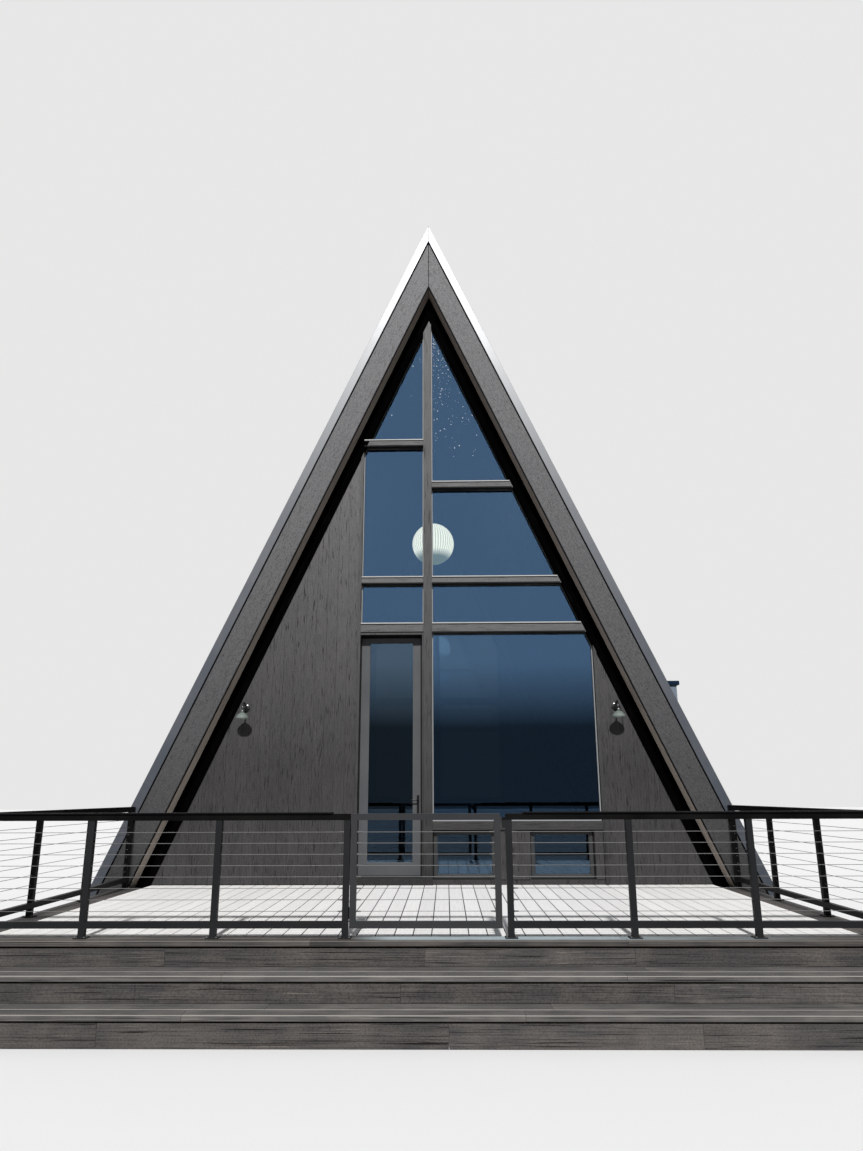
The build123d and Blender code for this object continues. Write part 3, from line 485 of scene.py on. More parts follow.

# %% [markdown]
# The footing is cast concrete, with soft patches and small pits. The globe is ribbed paper with a
# lamp in it, and the sun falls on it through the glass. Sunlight through glass would be slow to
# compute and noisy, so the paper glows with painted sunlight, with painted shade at its foot and
# along the hoops.

# %% Concrete and paper
concrete, tree, shader = finish("cast concrete", {"Roughness": 0.85})
place = place_in(tree)
patches = noise(tree, place, 1.4, 8.0, 0.6)
pits = spread(tree, noise(tree, place, 60.0, 3.0, 0.5), 0.62, 0.75)
colour = mixed(tree, spread(tree, patches, 0.3, 0.7), (0.36, 0.35, 0.33, 1), (0.50, 0.49, 0.46, 1))
colour = mixed(tree, times(tree, pits, 0.5), colour, (0.2, 0.19, 0.18, 1))
tree.links.new(colour, shader.inputs["Base Color"])
bumped(tree, shader, math_of(tree, "SUBTRACT", patches, pits), 0.003)

# Painted sunlight: the paper's colour is also its glow.
paper, tree, shader = finish("ribbed paper", {"Roughness": 0.8, "Emission Strength": 3.9})
paper.cycles.emission_sampling = "NONE"
place = place_in(tree)
fibres = noise(tree, place, 45.0, 5.0, 0.6)
colour = mixed(tree, fibres, (0.80, 0.77, 0.70, 1), (0.90, 0.85, 0.78, 1))
globe_bottom = float(low("pendant_lamp")[2])
# Painted shade at the foot of the globe.
lit = spread(tree, parts(tree, place)[2], globe_bottom + 0.10, globe_bottom + 0.22)
colour = mixed(tree, lit, (0.075, 0.085, 0.055, 1), colour)
# Painted shade along the hoops.
colour = mixed(tree, mark(tree, "crease_shade"), colour, (0.16, 0.19, 0.17, 1))
tree.links.new(colour, shader.inputs["Base Color"])
tree.links.new(colour, shader.inputs["Emission Color"])
bumped(tree, shader, fibres, 0.0006)
print("globe's lowest point:", globe_bottom)

# %% [markdown]
# Window glass lets little light out of a dark room. Its reflections are tinted a cool grey blue,
# a painted reflection of the sky. That blue and the reflection are plain values on the shader's
# sockets, and the faint unevenness of a real pane is a very shallow bump.

# %% Glass
def pane_glass(name, sky_tint, index, clearness):
    """Glass: the blue of the sky painted on its reflections, its index of refraction and its own colour."""
    plain = {"Base Color": (*clearness, 1), "Roughness": 0.0, "IOR": index}
    plain.update({"Transmission Weight": 1.0, "Specular Tint": (*sky_tint, 1)})
    material, tree, shader = finish(name, plain)
    bumped(tree, shader, noise(tree, place_in(tree), 0.9, 1.0, 0.4), 0.002, 0.15)
    return material


glass = pane_glass("window glass", (0.28, 0.55, 1.0), 2.2, (0.28, 0.33, 0.34))
low_glass = pane_glass("door and awning glass", (0.38, 0.64, 1.0), 1.95, (0.28, 0.31, 0.30))
rear_shade = pane_glass("shaded rear glass", (0.28, 0.55, 1.0), 2.2, (0.03, 0.035, 0.036))
print("glasses:", glass.name, low_glass.name, rear_shade.name)

# %% [markdown]
# ## Dressing the solids
# A solid whose shape is right keeps its mesh and gets a finish. Sharp corners catch no light, and real
# timber and steel have a small round on every edge, so a copy is merged from its loose triangles and
# given a narrow bevel, and it stands for the solid.

# %% Placing a piece, and softening a solid
behaviour = frame["record"]["behaviour"]["bodies"]
body_of_node = {node: name for name, nodes in behaviour.items() for node in nodes}
print("bodies:", *behaviour)


def place_piece(name, mesh, material, body="cabin", stands_for=()):
    """Puts a finished mesh into the scene, on the body that carries it."""
    made_piece = put(name, mesh)
    mesh.materials.clear()
    mesh.materials.append(material)
    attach(made_piece, body)
    if stands_for:
        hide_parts(*stands_for)
    return made_piece


def note(mesh, label, values):
    """Stores one number per face."""
    mesh.attributes.new(label, "FLOAT", "FACE").data.foreach_set("value", np.asarray(values, np.float32))


def soften(node, material, width):
    """A merged copy of a solid with its edges rounded by a bevel of this width. Its undersides are
    marked for painted shade, which a timber paints nearly black."""
    mesh = frame["nodes"][node].data.copy()
    work = bmesh.new()
    work.from_mesh(mesh)
    bmesh.ops.remove_doubles(work, verts=work.verts, dist=1e-5)
    bmesh.ops.dissolve_limit(work, angle_limit=0.01, verts=work.verts, edges=work.edges)
    work.to_mesh(mesh)
    work.free()
    note(mesh, "shade", [face.normal[2] < -0.5 for face in mesh.polygons])
    copy = place_piece(node + "_finished", mesh, material, body_of_node[node], [node])
    rounding = copy.modifiers.new("rounded edges", "BEVEL")
    rounding.width = width
    rounding.segments = 2
    rounding.limit_method = "ANGLE"
    rounding.angle_limit = math.radians(32)


# %% [markdown]
# Glass, boarding, roofing and hidden timber take a finish and keep their mesh. Frames, sashes, posts
# and trims show their edges, so they are softened: the railing and the gate by 2 mm, the rest by 3.

# %% The solids get their finishes
for material, nodes in (
    (concrete, "foundation"),
    (floor_timber, "floor"),
    (ceiling_timber, "roof_left roof_right"),
    (roof_metal, "cladding_left cladding_right"),
    (wall_timber, "front_wall rear_wall"),
    (soffit_timber, "soffits"),
    (fascia_timber, "eave_boards"),
    (raking_shade_timber, "raking_frames"),
    (glass, "gable_glass"),
    (low_glass, "awning_glass door_glass"),
    (rear_shade, "rear_glass dormer_glass"),
    (black_metal, "door_hinges"),
    (joist_timber, "deck_joists deck_posts step_stringers"),
):
    for node in nodes.split():
        solid = frame["nodes"][node]
        solid.data.materials.clear()
        solid.data.materials.append(material)

for material, width, nodes in (
    (roof_metal, 0.003, "ridge_cap"),
    (rake_metal, 0.003, "rake_trims"),
    (frame_upright, 0.003, "centre_post jambs"),
    (frame_level, 0.003, "rails"),
    (frame_upright, 0.003, "door_frame rear_frame"),
    (awning_paint, 0.003, "awning_sashes"),
    (sash_paint, 0.003, "door_leaf"),
    (dormer_paint, 0.003, "dormer_walls"),
    (navy_metal, 0.003, "dormer_roof"),
    (railing_paint, 0.002, "railing_front_left railing_front_right railing_side_left railing_side_right"),
    (cap_paint, 0.002, "cap_rails"),
    (gate_paint, 0.002, "gate_frame"),
):
    for node in nodes.split():
        soften(node, material, width)

# %% [markdown]
# ## Boards
# A board is a rectangle with its four corners planed off, carried along its length. Eight points make
# that outline, and two rings of them make a board, so a wall of fifty boards is one array. Each board
# keeps a number of its own for its tone, and the planed corners are marked for wear and a painted
# highlight.

# %% Boards from rings of points
def closed_mesh(name, points, faces, merged=False):
    """A mesh of closed shapes with their faces turned outwards, its doubled points merged if asked."""
    mesh = bpy.data.meshes.new(name)
    mesh.from_pydata(points, [], faces)
    work = bmesh.new()
    work.from_mesh(mesh)
    if merged:
        bmesh.ops.remove_doubles(work, verts=work.verts, dist=1e-6)
    bmesh.ops.recalc_face_normals(work, faces=work.faces)
    work.to_mesh(mesh)
    work.free()
    return mesh


def planed(a0, a1, b0, b1, corner):
    """The outline of a squared timber between a0 and a1, b0 and b1, with its corners planed off:
    eight points, counted round from the first side. The arrays may hold many timbers."""
    a0, a1, b0, b1 = np.broadcast_arrays(*(np.asarray(v, float) for v in (a0, a1, b0, b1)))
    a = np.stack([a0 + corner, a1 - corner, a1, a1, a1 - corner, a0 + corner, a0, a0], -1)
    b = np.stack([b0, b0, b0 + corner, b1 - corner, b1, b1, b1 - corner, b0 + corner], -1)
    return a, b


def prisms(name, rings, material, body="cabin", stands_for=(), slot=None, tones=None):
    """Closed bars from rings[bar, station, point]: each ring is joined to the next by quads, and the
    first and last rings are closed. Every second side is a planed corner."""
    bars, stations, points = rings.shape[:3]
    index = np.arange(bars * stations * points).reshape(bars, stations, points)
    ahead = np.roll(index, -1, axis=2)
    sides = np.stack([index[:, :-1], ahead[:, :-1], ahead[:, 1:], index[:, 1:]], -1)
    caps = np.concatenate([index[:, 0, ::-1], index[:, -1]])
    mesh = closed_mesh(name, rings.reshape(-1, 3).tolist(), sides.reshape(-1, 4).tolist() + caps.tolist())
    tones = chance.random(bars) if tones is None else tones
    per_side = np.repeat(tones, (stations - 1) * points)
    marks = np.tile(np.arange(points) % 2 if points == 8 else np.zeros(points), bars * (stations - 1))
    note(mesh, "tone", np.concatenate([per_side, tones, tones]))
    note(mesh, "arris", np.concatenate([marks, np.zeros(2 * bars)]))
    place_piece(name, mesh, material, body, stands_for)


def boards(name, spans, corner, along, material, stands_for=(), slot="dark_deck", body="cabin"):
    """Squared timbers given as (x0, x1, y0, y1, z0, z1), run along one axis."""
    spans = np.asarray(spans, float).reshape(-1, 3, 2)
    across, over = (axis for axis in range(3) if axis != along)
    a, b = planed(*spans[:, across].T, *spans[:, over].T, corner)
    rings = np.empty((len(spans), 2, 8, 3))
    rings[..., across] = a[:, None]
    rings[..., over] = b[:, None]
    rings[..., along] = spans[:, along, :, None]
    prisms(name, rings, material, body, stands_for, slot)
    print(name, len(spans))


print("points round a board:", planed(0, 0.14, 0, 0.02, 0.003)[0].size)

# %% [markdown]
# ## The gable's wall boards
# Rough-sawn boards stand upright on the wall beside the glazing. Their tops follow the raking frame,
# so the height of each top corner is a function of where it is across the wall: the board's end is
# worked out with it and no cutting is needed.

# %% Wall boards
board_pitch, board_gap, board_cover, clear = 0.142, 0.0012, 0.014, 0.004
post_left, post_right, left_edge, right_edge, jamb = 0.086, 0.030, 0.930, 2.170, 0.042


def standing_boards(x0, x1, y0, y1, base, top=None):
    """Upright boards from x0 to x1, cut at the top to the raking frame or to a height."""
    count = max(1, round((x1 - x0) / board_pitch))
    edges = np.linspace(x0, x1, count + 1)
    a, b = planed(edges[:-1] + board_gap / 2, edges[1:] - board_gap / 2, y0, y1, 0.001)
    tops = height_at(a, frame_line) - 0.002 if top is None else np.full(a.shape, top)
    rings = np.empty((count, 2, 8, 3))
    rings[..., 0], rings[..., 1] = a[:, None], b[:, None]
    rings[:, 0, :, 2] = base
    rings[:, 1, :, 2] = np.maximum(tops, base + 0.002)
    return rings


wall_base = deck_top + 0.010
low_base = wall_base + 0.055
wall_end = half_width(wall_base, frame_line) - clear
front = (wall_front - board_cover, wall_front)
awning_head, awning_width, awning_edge = 1.240, 0.804, 2.060
low_end = awning_edge - awning_width - clear
left_boards = standing_boards(-wall_end, -left_edge - jamb, *front, wall_base)
right_boards = standing_boards(right_edge + jamb, wall_end, *front, wall_base)
between = standing_boards(post_right + awning_width + clear, low_end, *front, low_base, awning_head)
beside = standing_boards(awning_edge + clear, right_edge - clear / 2, *front, low_base, awning_head)

rear_base = low("rear_wall")[2] + clear
rear_end = half_width(rear_base, frame_line) - clear
rear_post, rear_edge, rear_sill, rear_head = 0.059, 1.499, 1.490, 5.9475
rear_jamb = rear_edge + jamb
rear = (rear_wall_face, rear_wall_face + board_cover)
gable_end = half_width(rear_head + clear, frame_line) - clear
rear_boards = [
    standing_boards(-rear_end, -rear_jamb, *rear, rear_base),
    standing_boards(rear_jamb, rear_end, *rear, rear_base),
    standing_boards(clear / 2 - rear_jamb, rear_jamb - clear / 2, *rear, rear_base, rear_sill - clear / 2),
    standing_boards(-gable_end, 0.0, *rear, rear_head + clear / 2),
    standing_boards(0.0, gable_end, *rear, rear_head + clear / 2),
]
for place, pieces in (
    ("left", [left_boards]),
    ("right", [right_boards]),
    ("low", [between, beside]),
    ("rear", rear_boards),
):
    prisms("wall_boards_" + place, np.concatenate(pieces), wall_timber, slot="wall_boards")
    print("wall boards", place, sum(map(len, pieces)))

# %% [markdown]
# ## The fascias
# One wide board follows each slope and meets its twin in a plumb joint at the apex. A depth below the
# roof's surface and a height fix each point, and the board's ends are plumb at the top and level at
# the foot. A few millimetres are left at the joints, where the photograph shows dark lines, and a
# black felt behind the boards closes them.

# %% Fascias
fascia_low, fascia_high = ends("fascias")
fascia_thick, felt_gap, fascia_deep = 0.022, 0.001, 0.040


def along_slope(name, depths, foot, joint, corner, faces, material, **terms):
    """Boards between two depths below the roof's surface, one on each slope of each gable: their
    feet level, their tops plumb."""
    rings = []
    for y0, y1 in faces:
        depth, y = planed(*depths, y0, y1, corner)
        below = ridge_height - depth / math.sin(slope)
        height = foot + (below - joint / math.tan(slope) - foot) * np.array([[0.0], [1.0]])
        for hand in (-1, 1):
            rings.append(np.stack([hand * (below - height) * math.tan(slope), y + 0 * height, height], -1))
    prisms(name, np.array(rings), material, **terms)
    print(name, len(rings))


front_fascia = (fascia_low[1], fascia_low[1] + fascia_thick)
rear_fascia = (fascia_high[1] - fascia_thick, fascia_high[1])
front_felt = (front_fascia[1] + felt_gap, front_fascia[0] + fascia_deep)
rear_felt = (rear_fascia[1] - fascia_deep, rear_fascia[0] - felt_gap)
along_slope(
    "fascia_boards", (0.121, 0.414), fascia_low[2], 0.005, 0.004, (front_fascia, rear_fascia), fascia_timber,
    stands_for=["fascias"], slot="fascia_wood",
)
along_slope(
    "fascia_felt", (0.112, 0.4235), fascia_low[2] + 0.002, 0.0, 0.001, (front_felt, rear_felt), rubber,
    slot="black_metal",
)

# %% [markdown]
# ## Beads round the panes
# Each pane is held by a slim bead. The bead is one small profile carried round the pane's outline: for
# each point of the profile, the outline is drawn in by that point's distance, corner by corner, which
# keeps the mitres true on sloping panes as well.

# %% Outlines and beads
def pane_outline(inner, outer, base, top):
    """A pane's corners in x and z, counted round, cut to the raking frame where it meets it."""
    top = min(top, float(height_at(inner, frame_line)))
    low_x = min(outer, half_width(base, frame_line))
    high_x = min(outer, half_width(top, frame_line))
    points = [(inner, base), (low_x, base)]
    if base < height_at(outer, frame_line) < top:
        points.append((outer, float(height_at(outer, frame_line))))
    points.append((max(high_x, inner), top))
    if high_x > inner + 0.001:
        points.append((inner, top))
    return points


def other_hand(outline):
    """The same outline on the other side of the axis."""
    return [(-x, z) for x, z in outline]


def rectangle(x0, x1, z0, z1, inset=0.0):
    """Four corners, counted round, drawn in by an inset."""
    x0, x1, z0, z1 = x0 + inset, x1 - inset, z0 + inset, z1 - inset
    return [(x0, z0), (x1, z0), (x1, z1), (x0, z1)]


def drawn_in(outline, distances):
    """The outline drawn in by each distance: a corner moves along the sum of its sides' inward
    normals, divided by one plus their dot product."""
    corners = np.asarray(outline, float)
    run = np.roll(corners, -1, axis=0) - corners
    if np.sum(run[:, 0] * np.roll(run[:, 1], -1) - run[:, 1] * np.roll(run[:, 0], -1)) < 0:
        corners = corners[::-1]
        run = np.roll(corners, -1, axis=0) - corners
    normal = np.stack([-run[:, 1], run[:, 0]], -1) / np.linalg.norm(run, axis=1, keepdims=True)
    before = np.roll(normal, 1, axis=0)
    shift = (normal + before) / (1 + np.sum(normal * before, axis=1, keepdims=True))
    return corners + np.asarray(distances, float)[:, None, None] * shift


def beads(name, outlines, face, width, rise, material, body="cabin", plane="xz", outwards=-1):
    """Beads round outlines in x and z, or in y and z. The profile stands on a face, and its inner
    corner is sloped to shed water. A side under a rail or a slope is marked for painted shade."""
    distances = np.array([0.0, 0.0, 0.65, 1.0, 1.0]) * width
    depths = face + outwards * rise * np.array([0.0, 1.0, 1.0, 0.55, 0.0])
    points, faces, shades, start = [], [], [], 0
    for outline in outlines:
        ring = drawn_in(outline, distances)
        run = np.roll(ring[0], -1, axis=0) - ring[0]
        shades.append(np.tile(run[:, 0] / np.linalg.norm(run, axis=1) < -0.1, len(distances)))
        deep = np.broadcast_to(depths[:, None], ring.shape[:2])
        order = (ring[..., 0], deep, ring[..., 1]) if plane == "xz" else (deep, ring[..., 0], ring[..., 1])
        points.append(np.stack(order, -1).reshape(-1, 3))
        index = start + np.arange(deep.size).reshape(deep.shape)
        across, round_it = np.roll(index, -1, axis=0), np.roll(index, -1, axis=1)
        faces.append(np.stack([index, across, np.roll(across, -1, axis=1), round_it], -1).reshape(-1, 4))
        start += deep.size
    mesh = closed_mesh(name, np.concatenate(points).tolist(), np.concatenate(faces).tolist())
    note(mesh, "shade", np.concatenate(shades))
    place_piece(name, mesh, material, body)
    print(name, len(outlines))


print("corners of a pane cut by the slope:", len(pane_outline(post_right, right_edge, 1.348, 9.0)))

# %% [markdown]
# The panes are cut to the heights of the rails. The gable, the rear, the two awning lights, the door
# and the dormer have beads of different sizes, so the size is an input and the function is the same.
# Round the door leaf and the awning sashes it makes a flat black seal.

# %% Beads and seals
transom_low, transom_high = 3.771, 3.909
short_top, short_rail_top = 4.452, 4.557
left_rail, right_rail, thin_rail = 6.485, 5.842, 0.105
sill_top = 1.348
left_panes = [(transom_high, short_top), (short_rail_top, left_rail), (left_rail + thin_rail, ridge_height)]
right_panes = [(sill_top, transom_low), (transom_high, short_top), (short_rail_top, right_rail)]
right_panes.append((right_rail + thin_rail, ridge_height))
rear_panes = [(rear_sill + thin_rail, transom_low), (transom_high, right_rail)]
front_outlines = [other_hand(pane_outline(post_left, left_edge, *pane)) for pane in left_panes]
front_outlines += [pane_outline(post_right, right_edge, *pane) for pane in right_panes]
rear_outlines = [pane_outline(rear_post, rear_edge, *pane) for pane in rear_panes]
rear_outlines += [other_hand(outline) for outline in rear_outlines]


def face_outline(node, across=0, inset=0.0):
    """The outline of a node's box, seen from the front or from the side."""
    first, last = ends(node)
    return rectangle(first[across], last[across], first[2], last[2], inset)


def awning_outlines(node, width, inset=0.0):
    """The outlines of the two awning lights of this width, at both ends of a node's box."""
    first, last = ends(node)
    return [rectangle(x, x + width, first[2], last[2], inset) for x in (first[0], last[0] - width)]


glass_front = low("gable_glass")[1]
rear_pane, awning_pane, sash_front = high("rear_glass")[1], low("awning_glass")[1], low("awning_sashes")[1]
panes = awning_outlines("awning_glass", awning_width - 2 * 0.0533)
door_pane, leaf_edge = [face_outline("door_glass")], [face_outline("door_leaf", 0, 0.001)]
beads("gable_beads", front_outlines, glass_front, 0.013, 0.024, bead_paint)
beads("rear_beads", rear_outlines, rear_pane, 0.024, 0.030, bead_paint, outwards=1)
beads("awning_beads", panes, awning_pane, 0.009, 0.010, awning_paint)
for name, face, way in (("outside", low("door_glass")[1], -1), ("inside", high("door_glass")[1], 1)):
    beads("door_bead_" + name, door_pane, face, 0.008, 0.010, low_bead, "door", "xz", way)
beads("door_seal", leaf_edge, low("door_leaf")[1], 0.015, 0.002, rubber, "door")
sashes = awning_outlines("awning_sashes", awning_width, 0.001)
beads("awning_seals", sashes, sash_front, 0.013, 0.002, rubber)
dormer_pane = [face_outline("dormer_glass", 1)]
beads("dormer_bead", dormer_pane, high("dormer_glass")[0], 0.03, 0.025, sash_paint, plane="yz", outwards=1)

# %% [markdown]
# ## Specks on the upper panes
# Rain has left pale specks on the two panes under the ridge, thickest beside the post and near the
# top. Each is a flat drop with six sides that lies on the outside of the glass. A power of a random
# share crowds the specks towards one end of a range, and keeps the large ones rare.

# %% Specks on the upper panes
rain = np.random.default_rng(11)


def specks_on(count, hand, inner, base, top):
    """Six-sided drops on a pane beside the post: rings[drop, station, point]."""
    z = base + (top - base) * rain.random(count) ** 0.45
    x = inner + (half_width(z, frame_line) - 0.02 - inner) * rain.random(count) ** 1.4
    radius = 0.0028 + 0.0052 * rain.random(count) ** 4
    angle = np.arange(6) * np.pi / 3
    rings = np.empty((count, 2, 6, 3))
    rings[..., 0] = (hand * x[:, None] + radius[:, None] * np.cos(angle))[:, None]
    rings[..., 1] = np.array([glass_front - 0.0005, glass_front - 0.0001])[:, None]
    rings[..., 2] = (z[:, None] + radius[:, None] * np.sin(angle))[:, None]
    return rings


drops = np.concatenate([specks_on(170, 1, 0.055, 6.0, 8.28), specks_on(10, -1, 0.11, 6.65, 8.2)])
prisms("pane_specks", drops, speck_finish, slot="clear_glass", tones=np.zeros(len(drops)))
print("specks:", len(drops))

# %% [markdown]
# ## Sill strips
# A thin metal strip covers the top of each rail and turns down over its face, so that rain drips
# clear of the timber. Its section is an L with a real thickness, carried along the rail. Under its
# fold a narrow black strip is painted shadow, and another runs near the rail's lower edge.

# %% Sill strips
def strips(name, runs, section, material):
    """Bars along x with a section in y and z: runs are (x0, x1, height of the section's zero)."""
    y, z = (np.array(v, float) for v in zip(*section))
    rings = np.empty((len(runs), 2, len(section), 3))
    for i, (x0, x1, base) in enumerate(runs):
        rings[i, 0, :, 0], rings[i, 1, :, 0] = x0, x1
        rings[i, :, :, 1], rings[i, :, :, 2] = y, base + z
    prisms(name, rings, material, slot="frame_wood")
    print(name, len(runs))


strip_front, strip_back = low("centre_post")[1] - 0.003, glass_front - 0.031
drop, sheet, fold = 0.012, 0.003, 0.0029
sill_section = [
    (strip_back, sheet),
    (strip_front, sheet),
    (strip_front, -drop),
    (strip_front + fold, -drop),
    (strip_front + fold, sheet - 0.0028),
    (strip_back, sheet - 0.0028),
]
left_run = (0.001 - left_edge, -post_left - 0.001)
right_start = post_right + 0.001
sill_runs = [(*left_run, height) for height in (transom_high, short_rail_top, left_rail + thin_rail)]
for height in (transom_high, short_rail_top, right_rail + thin_rail):
    sill_runs.append((right_start, half_width(height, frame_line) - clear, height))
strips("sill_strips", sill_runs, sill_section, sill_paint)

# Painted shadow: a black strip just under each sill strip's fold, and one near the rail's lower edge.
dark_line, dark_line_lift, dark_line_front = 0.014, 0.003, low("rails")[1] - 0.0015
dark_line_faces = (dark_line_front, dark_line_front + 0.003)
dark_line_section = [(dark_line_faces[i], z) for i, z in ((0, 0.0), (0, dark_line), (1, dark_line), (1, 0.0))]
dark_line_runs = [(x0, x1, height - drop - dark_line) for x0, x1, height in sill_runs]
dark_line_runs += [(*left_run, base + dark_line_lift) for base in (transom_low, short_top, left_rail)]
for base in (transom_low, short_top, right_rail):
    end = min(right_edge - 0.001, half_width(base + 0.03, frame_line)) - clear
    dark_line_runs.append((right_start, end, base + dark_line_lift))
strips("rail_dark_lines", dark_line_runs, dark_line_section, rubber)

# %% [markdown]
# ## The deck
# Pale boards run from front to back with a dark gap between them, and darker boards frame them. The
# positions of the gaps were measured in the photograph: one every 150 mm. The slab of the solids gives
# way to boards of the same outline, so the deck's size stays.

# %% Deck boards
floor_low, floor_high = ends("deck_floor")
first_gap, deck_pitch, deck_gap = -0.074, 0.1505, 0.008
first = math.ceil((floor_low[0] - first_gap) / deck_pitch)
last = math.floor((floor_high[0] - first_gap) / deck_pitch)
gaps = first_gap + deck_pitch * np.arange(first, last + 1)
edges = [floor_low[0] - deck_gap / 2, *gaps, floor_high[0] + deck_gap / 2]
deck = [
    (x0 + deck_gap / 2, x1 - deck_gap / 2, floor_low[1], floor_high[1], floor_low[2], floor_high[2])
    for x0, x1 in zip(edges[:-1], edges[1:])
]
boards("deck_boards", deck, 0.003, 1, deck_timber, ["deck_floor"], "deck_boards")
fillings = [
    (x - deck_gap / 2, x + deck_gap / 2, floor_low[1], floor_high[1], deck_top - 0.020, deck_top - 0.003)
    for x in gaps
]
boards("deck_gap_strips", fillings, 0.001, 1, rubber)

# %% [markdown]
# Darker boards frame the deck, two side by side. A row as long as the deck is never one board, so a
# row is cut into uneven lengths, as a carpenter uses up timber.

# %% Border
end_gap = 0.002


def lengths(x0, x1, longest):
    """A row of boards cut to uneven lengths between x0 and x1, as (start, end) pairs."""
    count = max(1, math.ceil((x1 - x0) / longest))
    cuts = np.linspace(x0, x1, count + 1)
    cuts[1:-1] += chance.uniform(-0.22, 0.22, count - 1) * (x1 - x0) / count
    return [(a + end_gap / 2, b - end_gap / 2) for a, b in zip(cuts[:-1], cuts[1:])]


border_low, border_high = ends("deck_border")
border_rear = floor_low[1]
border_middle = (deck_front + border_rear) / 2
border, side_border = [], []
for y0, y1 in ((deck_front, border_middle - clear / 2), (border_middle + clear / 2, border_rear - clear)):
    for x0, x1 in lengths(border_low[0], border_high[0], 3.6):
        border.append((x0, x1, y0, y1, border_low[2], border_high[2]))
boards("border_boards_front", border, 0.004, 0, border_timber, ["deck_border"])
inner, outer = floor_high[0] + clear, border_high[0]
middle = (inner + outer) / 2
for hand in (-1, 1):
    for near, far in ((inner, middle - clear / 2), (middle + clear / 2, outer)):
        x0, x1 = sorted((hand * near, hand * far))
        side_border.append((x0, x1, border_rear, border_high[1], border_low[2], border_high[2]))
boards("border_boards_side", side_border, 0.004, 1, side_timber, ["deck_border"])

# %% [markdown]
# Each tread is two boards that stand out over the riser. A riser stops short of the tread above it,
# and a black strip fills the gap: painted shadow under the nosing.

# %% Steps
step_tops, going, nosing, board_thick = (0.403, 0.216), 0.300, 0.025, 0.040
tread_depth, tread_middle, tread_gap, shadow_gap = 0.3247, 0.152, 0.003, 0.014
tread_low, tread_high = ends("step_treads")
treads, risers, gap_strips = [], [], []
for i, top in enumerate(step_tops):
    y = deck_front - going * (i + 1)
    middle = y + tread_middle
    for y0, y1 in ((y, middle - tread_gap / 2), (middle + tread_gap / 2, y + tread_depth)):
        for x0, x1 in lengths(tread_low[0], tread_high[0], 3.2):
            treads.append((x0, x1, y0, y1, top - board_thick, top))
boards("tread_boards", treads, 0.005, 0, tread_timber, ["step_treads"])

riser_low, riser_high = ends("step_risers")
for i, (over, base) in enumerate(zip((deck_top, *step_tops), (*step_tops, 0.0))):
    y, top = deck_front + nosing - going * i, over - board_thick
    for x0, x1 in lengths(riser_low[0], riser_high[0], 2.4):
        risers.append((x0, x1, y, y + 0.025, base, top - shadow_gap))
    gap_strips.append((riser_low[0], riser_high[0], y + 0.012, y + 0.025, top - shadow_gap, top))
boards("riser_boards", risers, 0.002, 0, step_timber, ["step_risers"])
boards("riser_shadow_strips", gap_strips, 0.001, 0, rubber)

# %% [markdown]
# Four courses of boards close each side of the deck, a few millimetres apart. The lowest course
# stands on the ground and has no gap under it.

# %% Skirts
skirt_low, skirt_high = ends("deck_skirts")
skirt_thick, skirt_gap = 0.025, 0.003
skirts = []
courses = np.linspace(skirt_low[2], skirt_high[2], 5)
for x0 in (skirt_low[0], skirt_high[0] - skirt_thick):
    for z0, z1 in zip(courses[:-1], courses[1:]):
        for y0, y1 in lengths(skirt_low[1], skirt_high[1], 2.4):
            skirts.append((x0, x0 + skirt_thick, y0, y1, z0 + skirt_gap * (z0 > 0.01), z1 - skirt_gap))
boards("skirt_boards", skirts, 0.003, 1, side_timber, ["deck_skirts"])

# %% [markdown]
# ## The floor inside
# Oiled boards run from the door to the back wall. They are let into the floor's solid, and stand out
# of it by less than a millimetre, so that the door still swings clear over them.

# %% Floor boards
floor_top, floor_gap, wall_depth = high("floor")[2], 0.002, 0.172
floor_edge = half_width(floor_top, frame_line) + 0.10
board_edges = np.linspace(-floor_edge, floor_edge, 1 + round(2 * floor_edge / 0.14))
floor = []
for x0, x1 in zip(board_edges[:-1] + floor_gap / 2, board_edges[1:] - floor_gap / 2):
    for y0, y1 in lengths(wall_front + wall_depth, rear_wall_face - wall_depth, 2.8):
        floor.append((x0, x1, y0, y1, floor_top - 0.015, floor_top + 0.0008))
boards("floor_boards", floor, 0.0015, 1, floor_timber, slot="floor_wood")

# %% [markdown]
# ## Turned and bent pieces
# A lamp shade is turned: a profile of radii and heights goes round an axis. A lamp's neck and a cable
# are bent or straight tubes: a circle is carried along a path, standing square to it at each point.

# %% Turned shapes and tubes
def turned(profile, centre, steps=48):
    """Points of a profile of (radius, height) turned round an upright axis: x is the radius times
    the cosine of the turn, y the radius times its sine. The ends on the axis are single points."""
    radius, height = (np.array(v, float) for v in zip(*profile))
    angle = np.linspace(0, 2 * np.pi, steps, endpoint=False)
    x = centre[0] + radius[:, None] * np.cos(angle)
    y = centre[1] + radius[:, None] * np.sin(angle)
    z = centre[2] + np.broadcast_to(height[:, None], x.shape)
    return np.stack([x, y, z], -1)


def tube(path, radius, steps=16):
    """Rings round a path. The side direction is the path's direction crossed with a steady one, so
    the tube doesn't twist: point = path + radius (cosine side + sine over)."""
    path = np.asarray(path, float)
    ahead = np.gradient(path, axis=0)
    ahead /= np.linalg.norm(ahead, axis=1, keepdims=True)
    steady = np.eye(3)[int(np.argmin(np.ptp(path, axis=0)))]
    sideways = np.cross(ahead, steady)
    sideways /= np.linalg.norm(sideways, axis=1, keepdims=True)
    over = np.cross(ahead, sideways)
    angle = np.linspace(0, 2 * np.pi, steps, endpoint=False)
    radius = np.broadcast_to(np.asarray(radius, float), len(path))[:, None, None]
    ring = np.cos(angle)[:, None] * sideways[:, None] + np.sin(angle)[:, None] * over[:, None]
    return path[:, None] + radius * ring


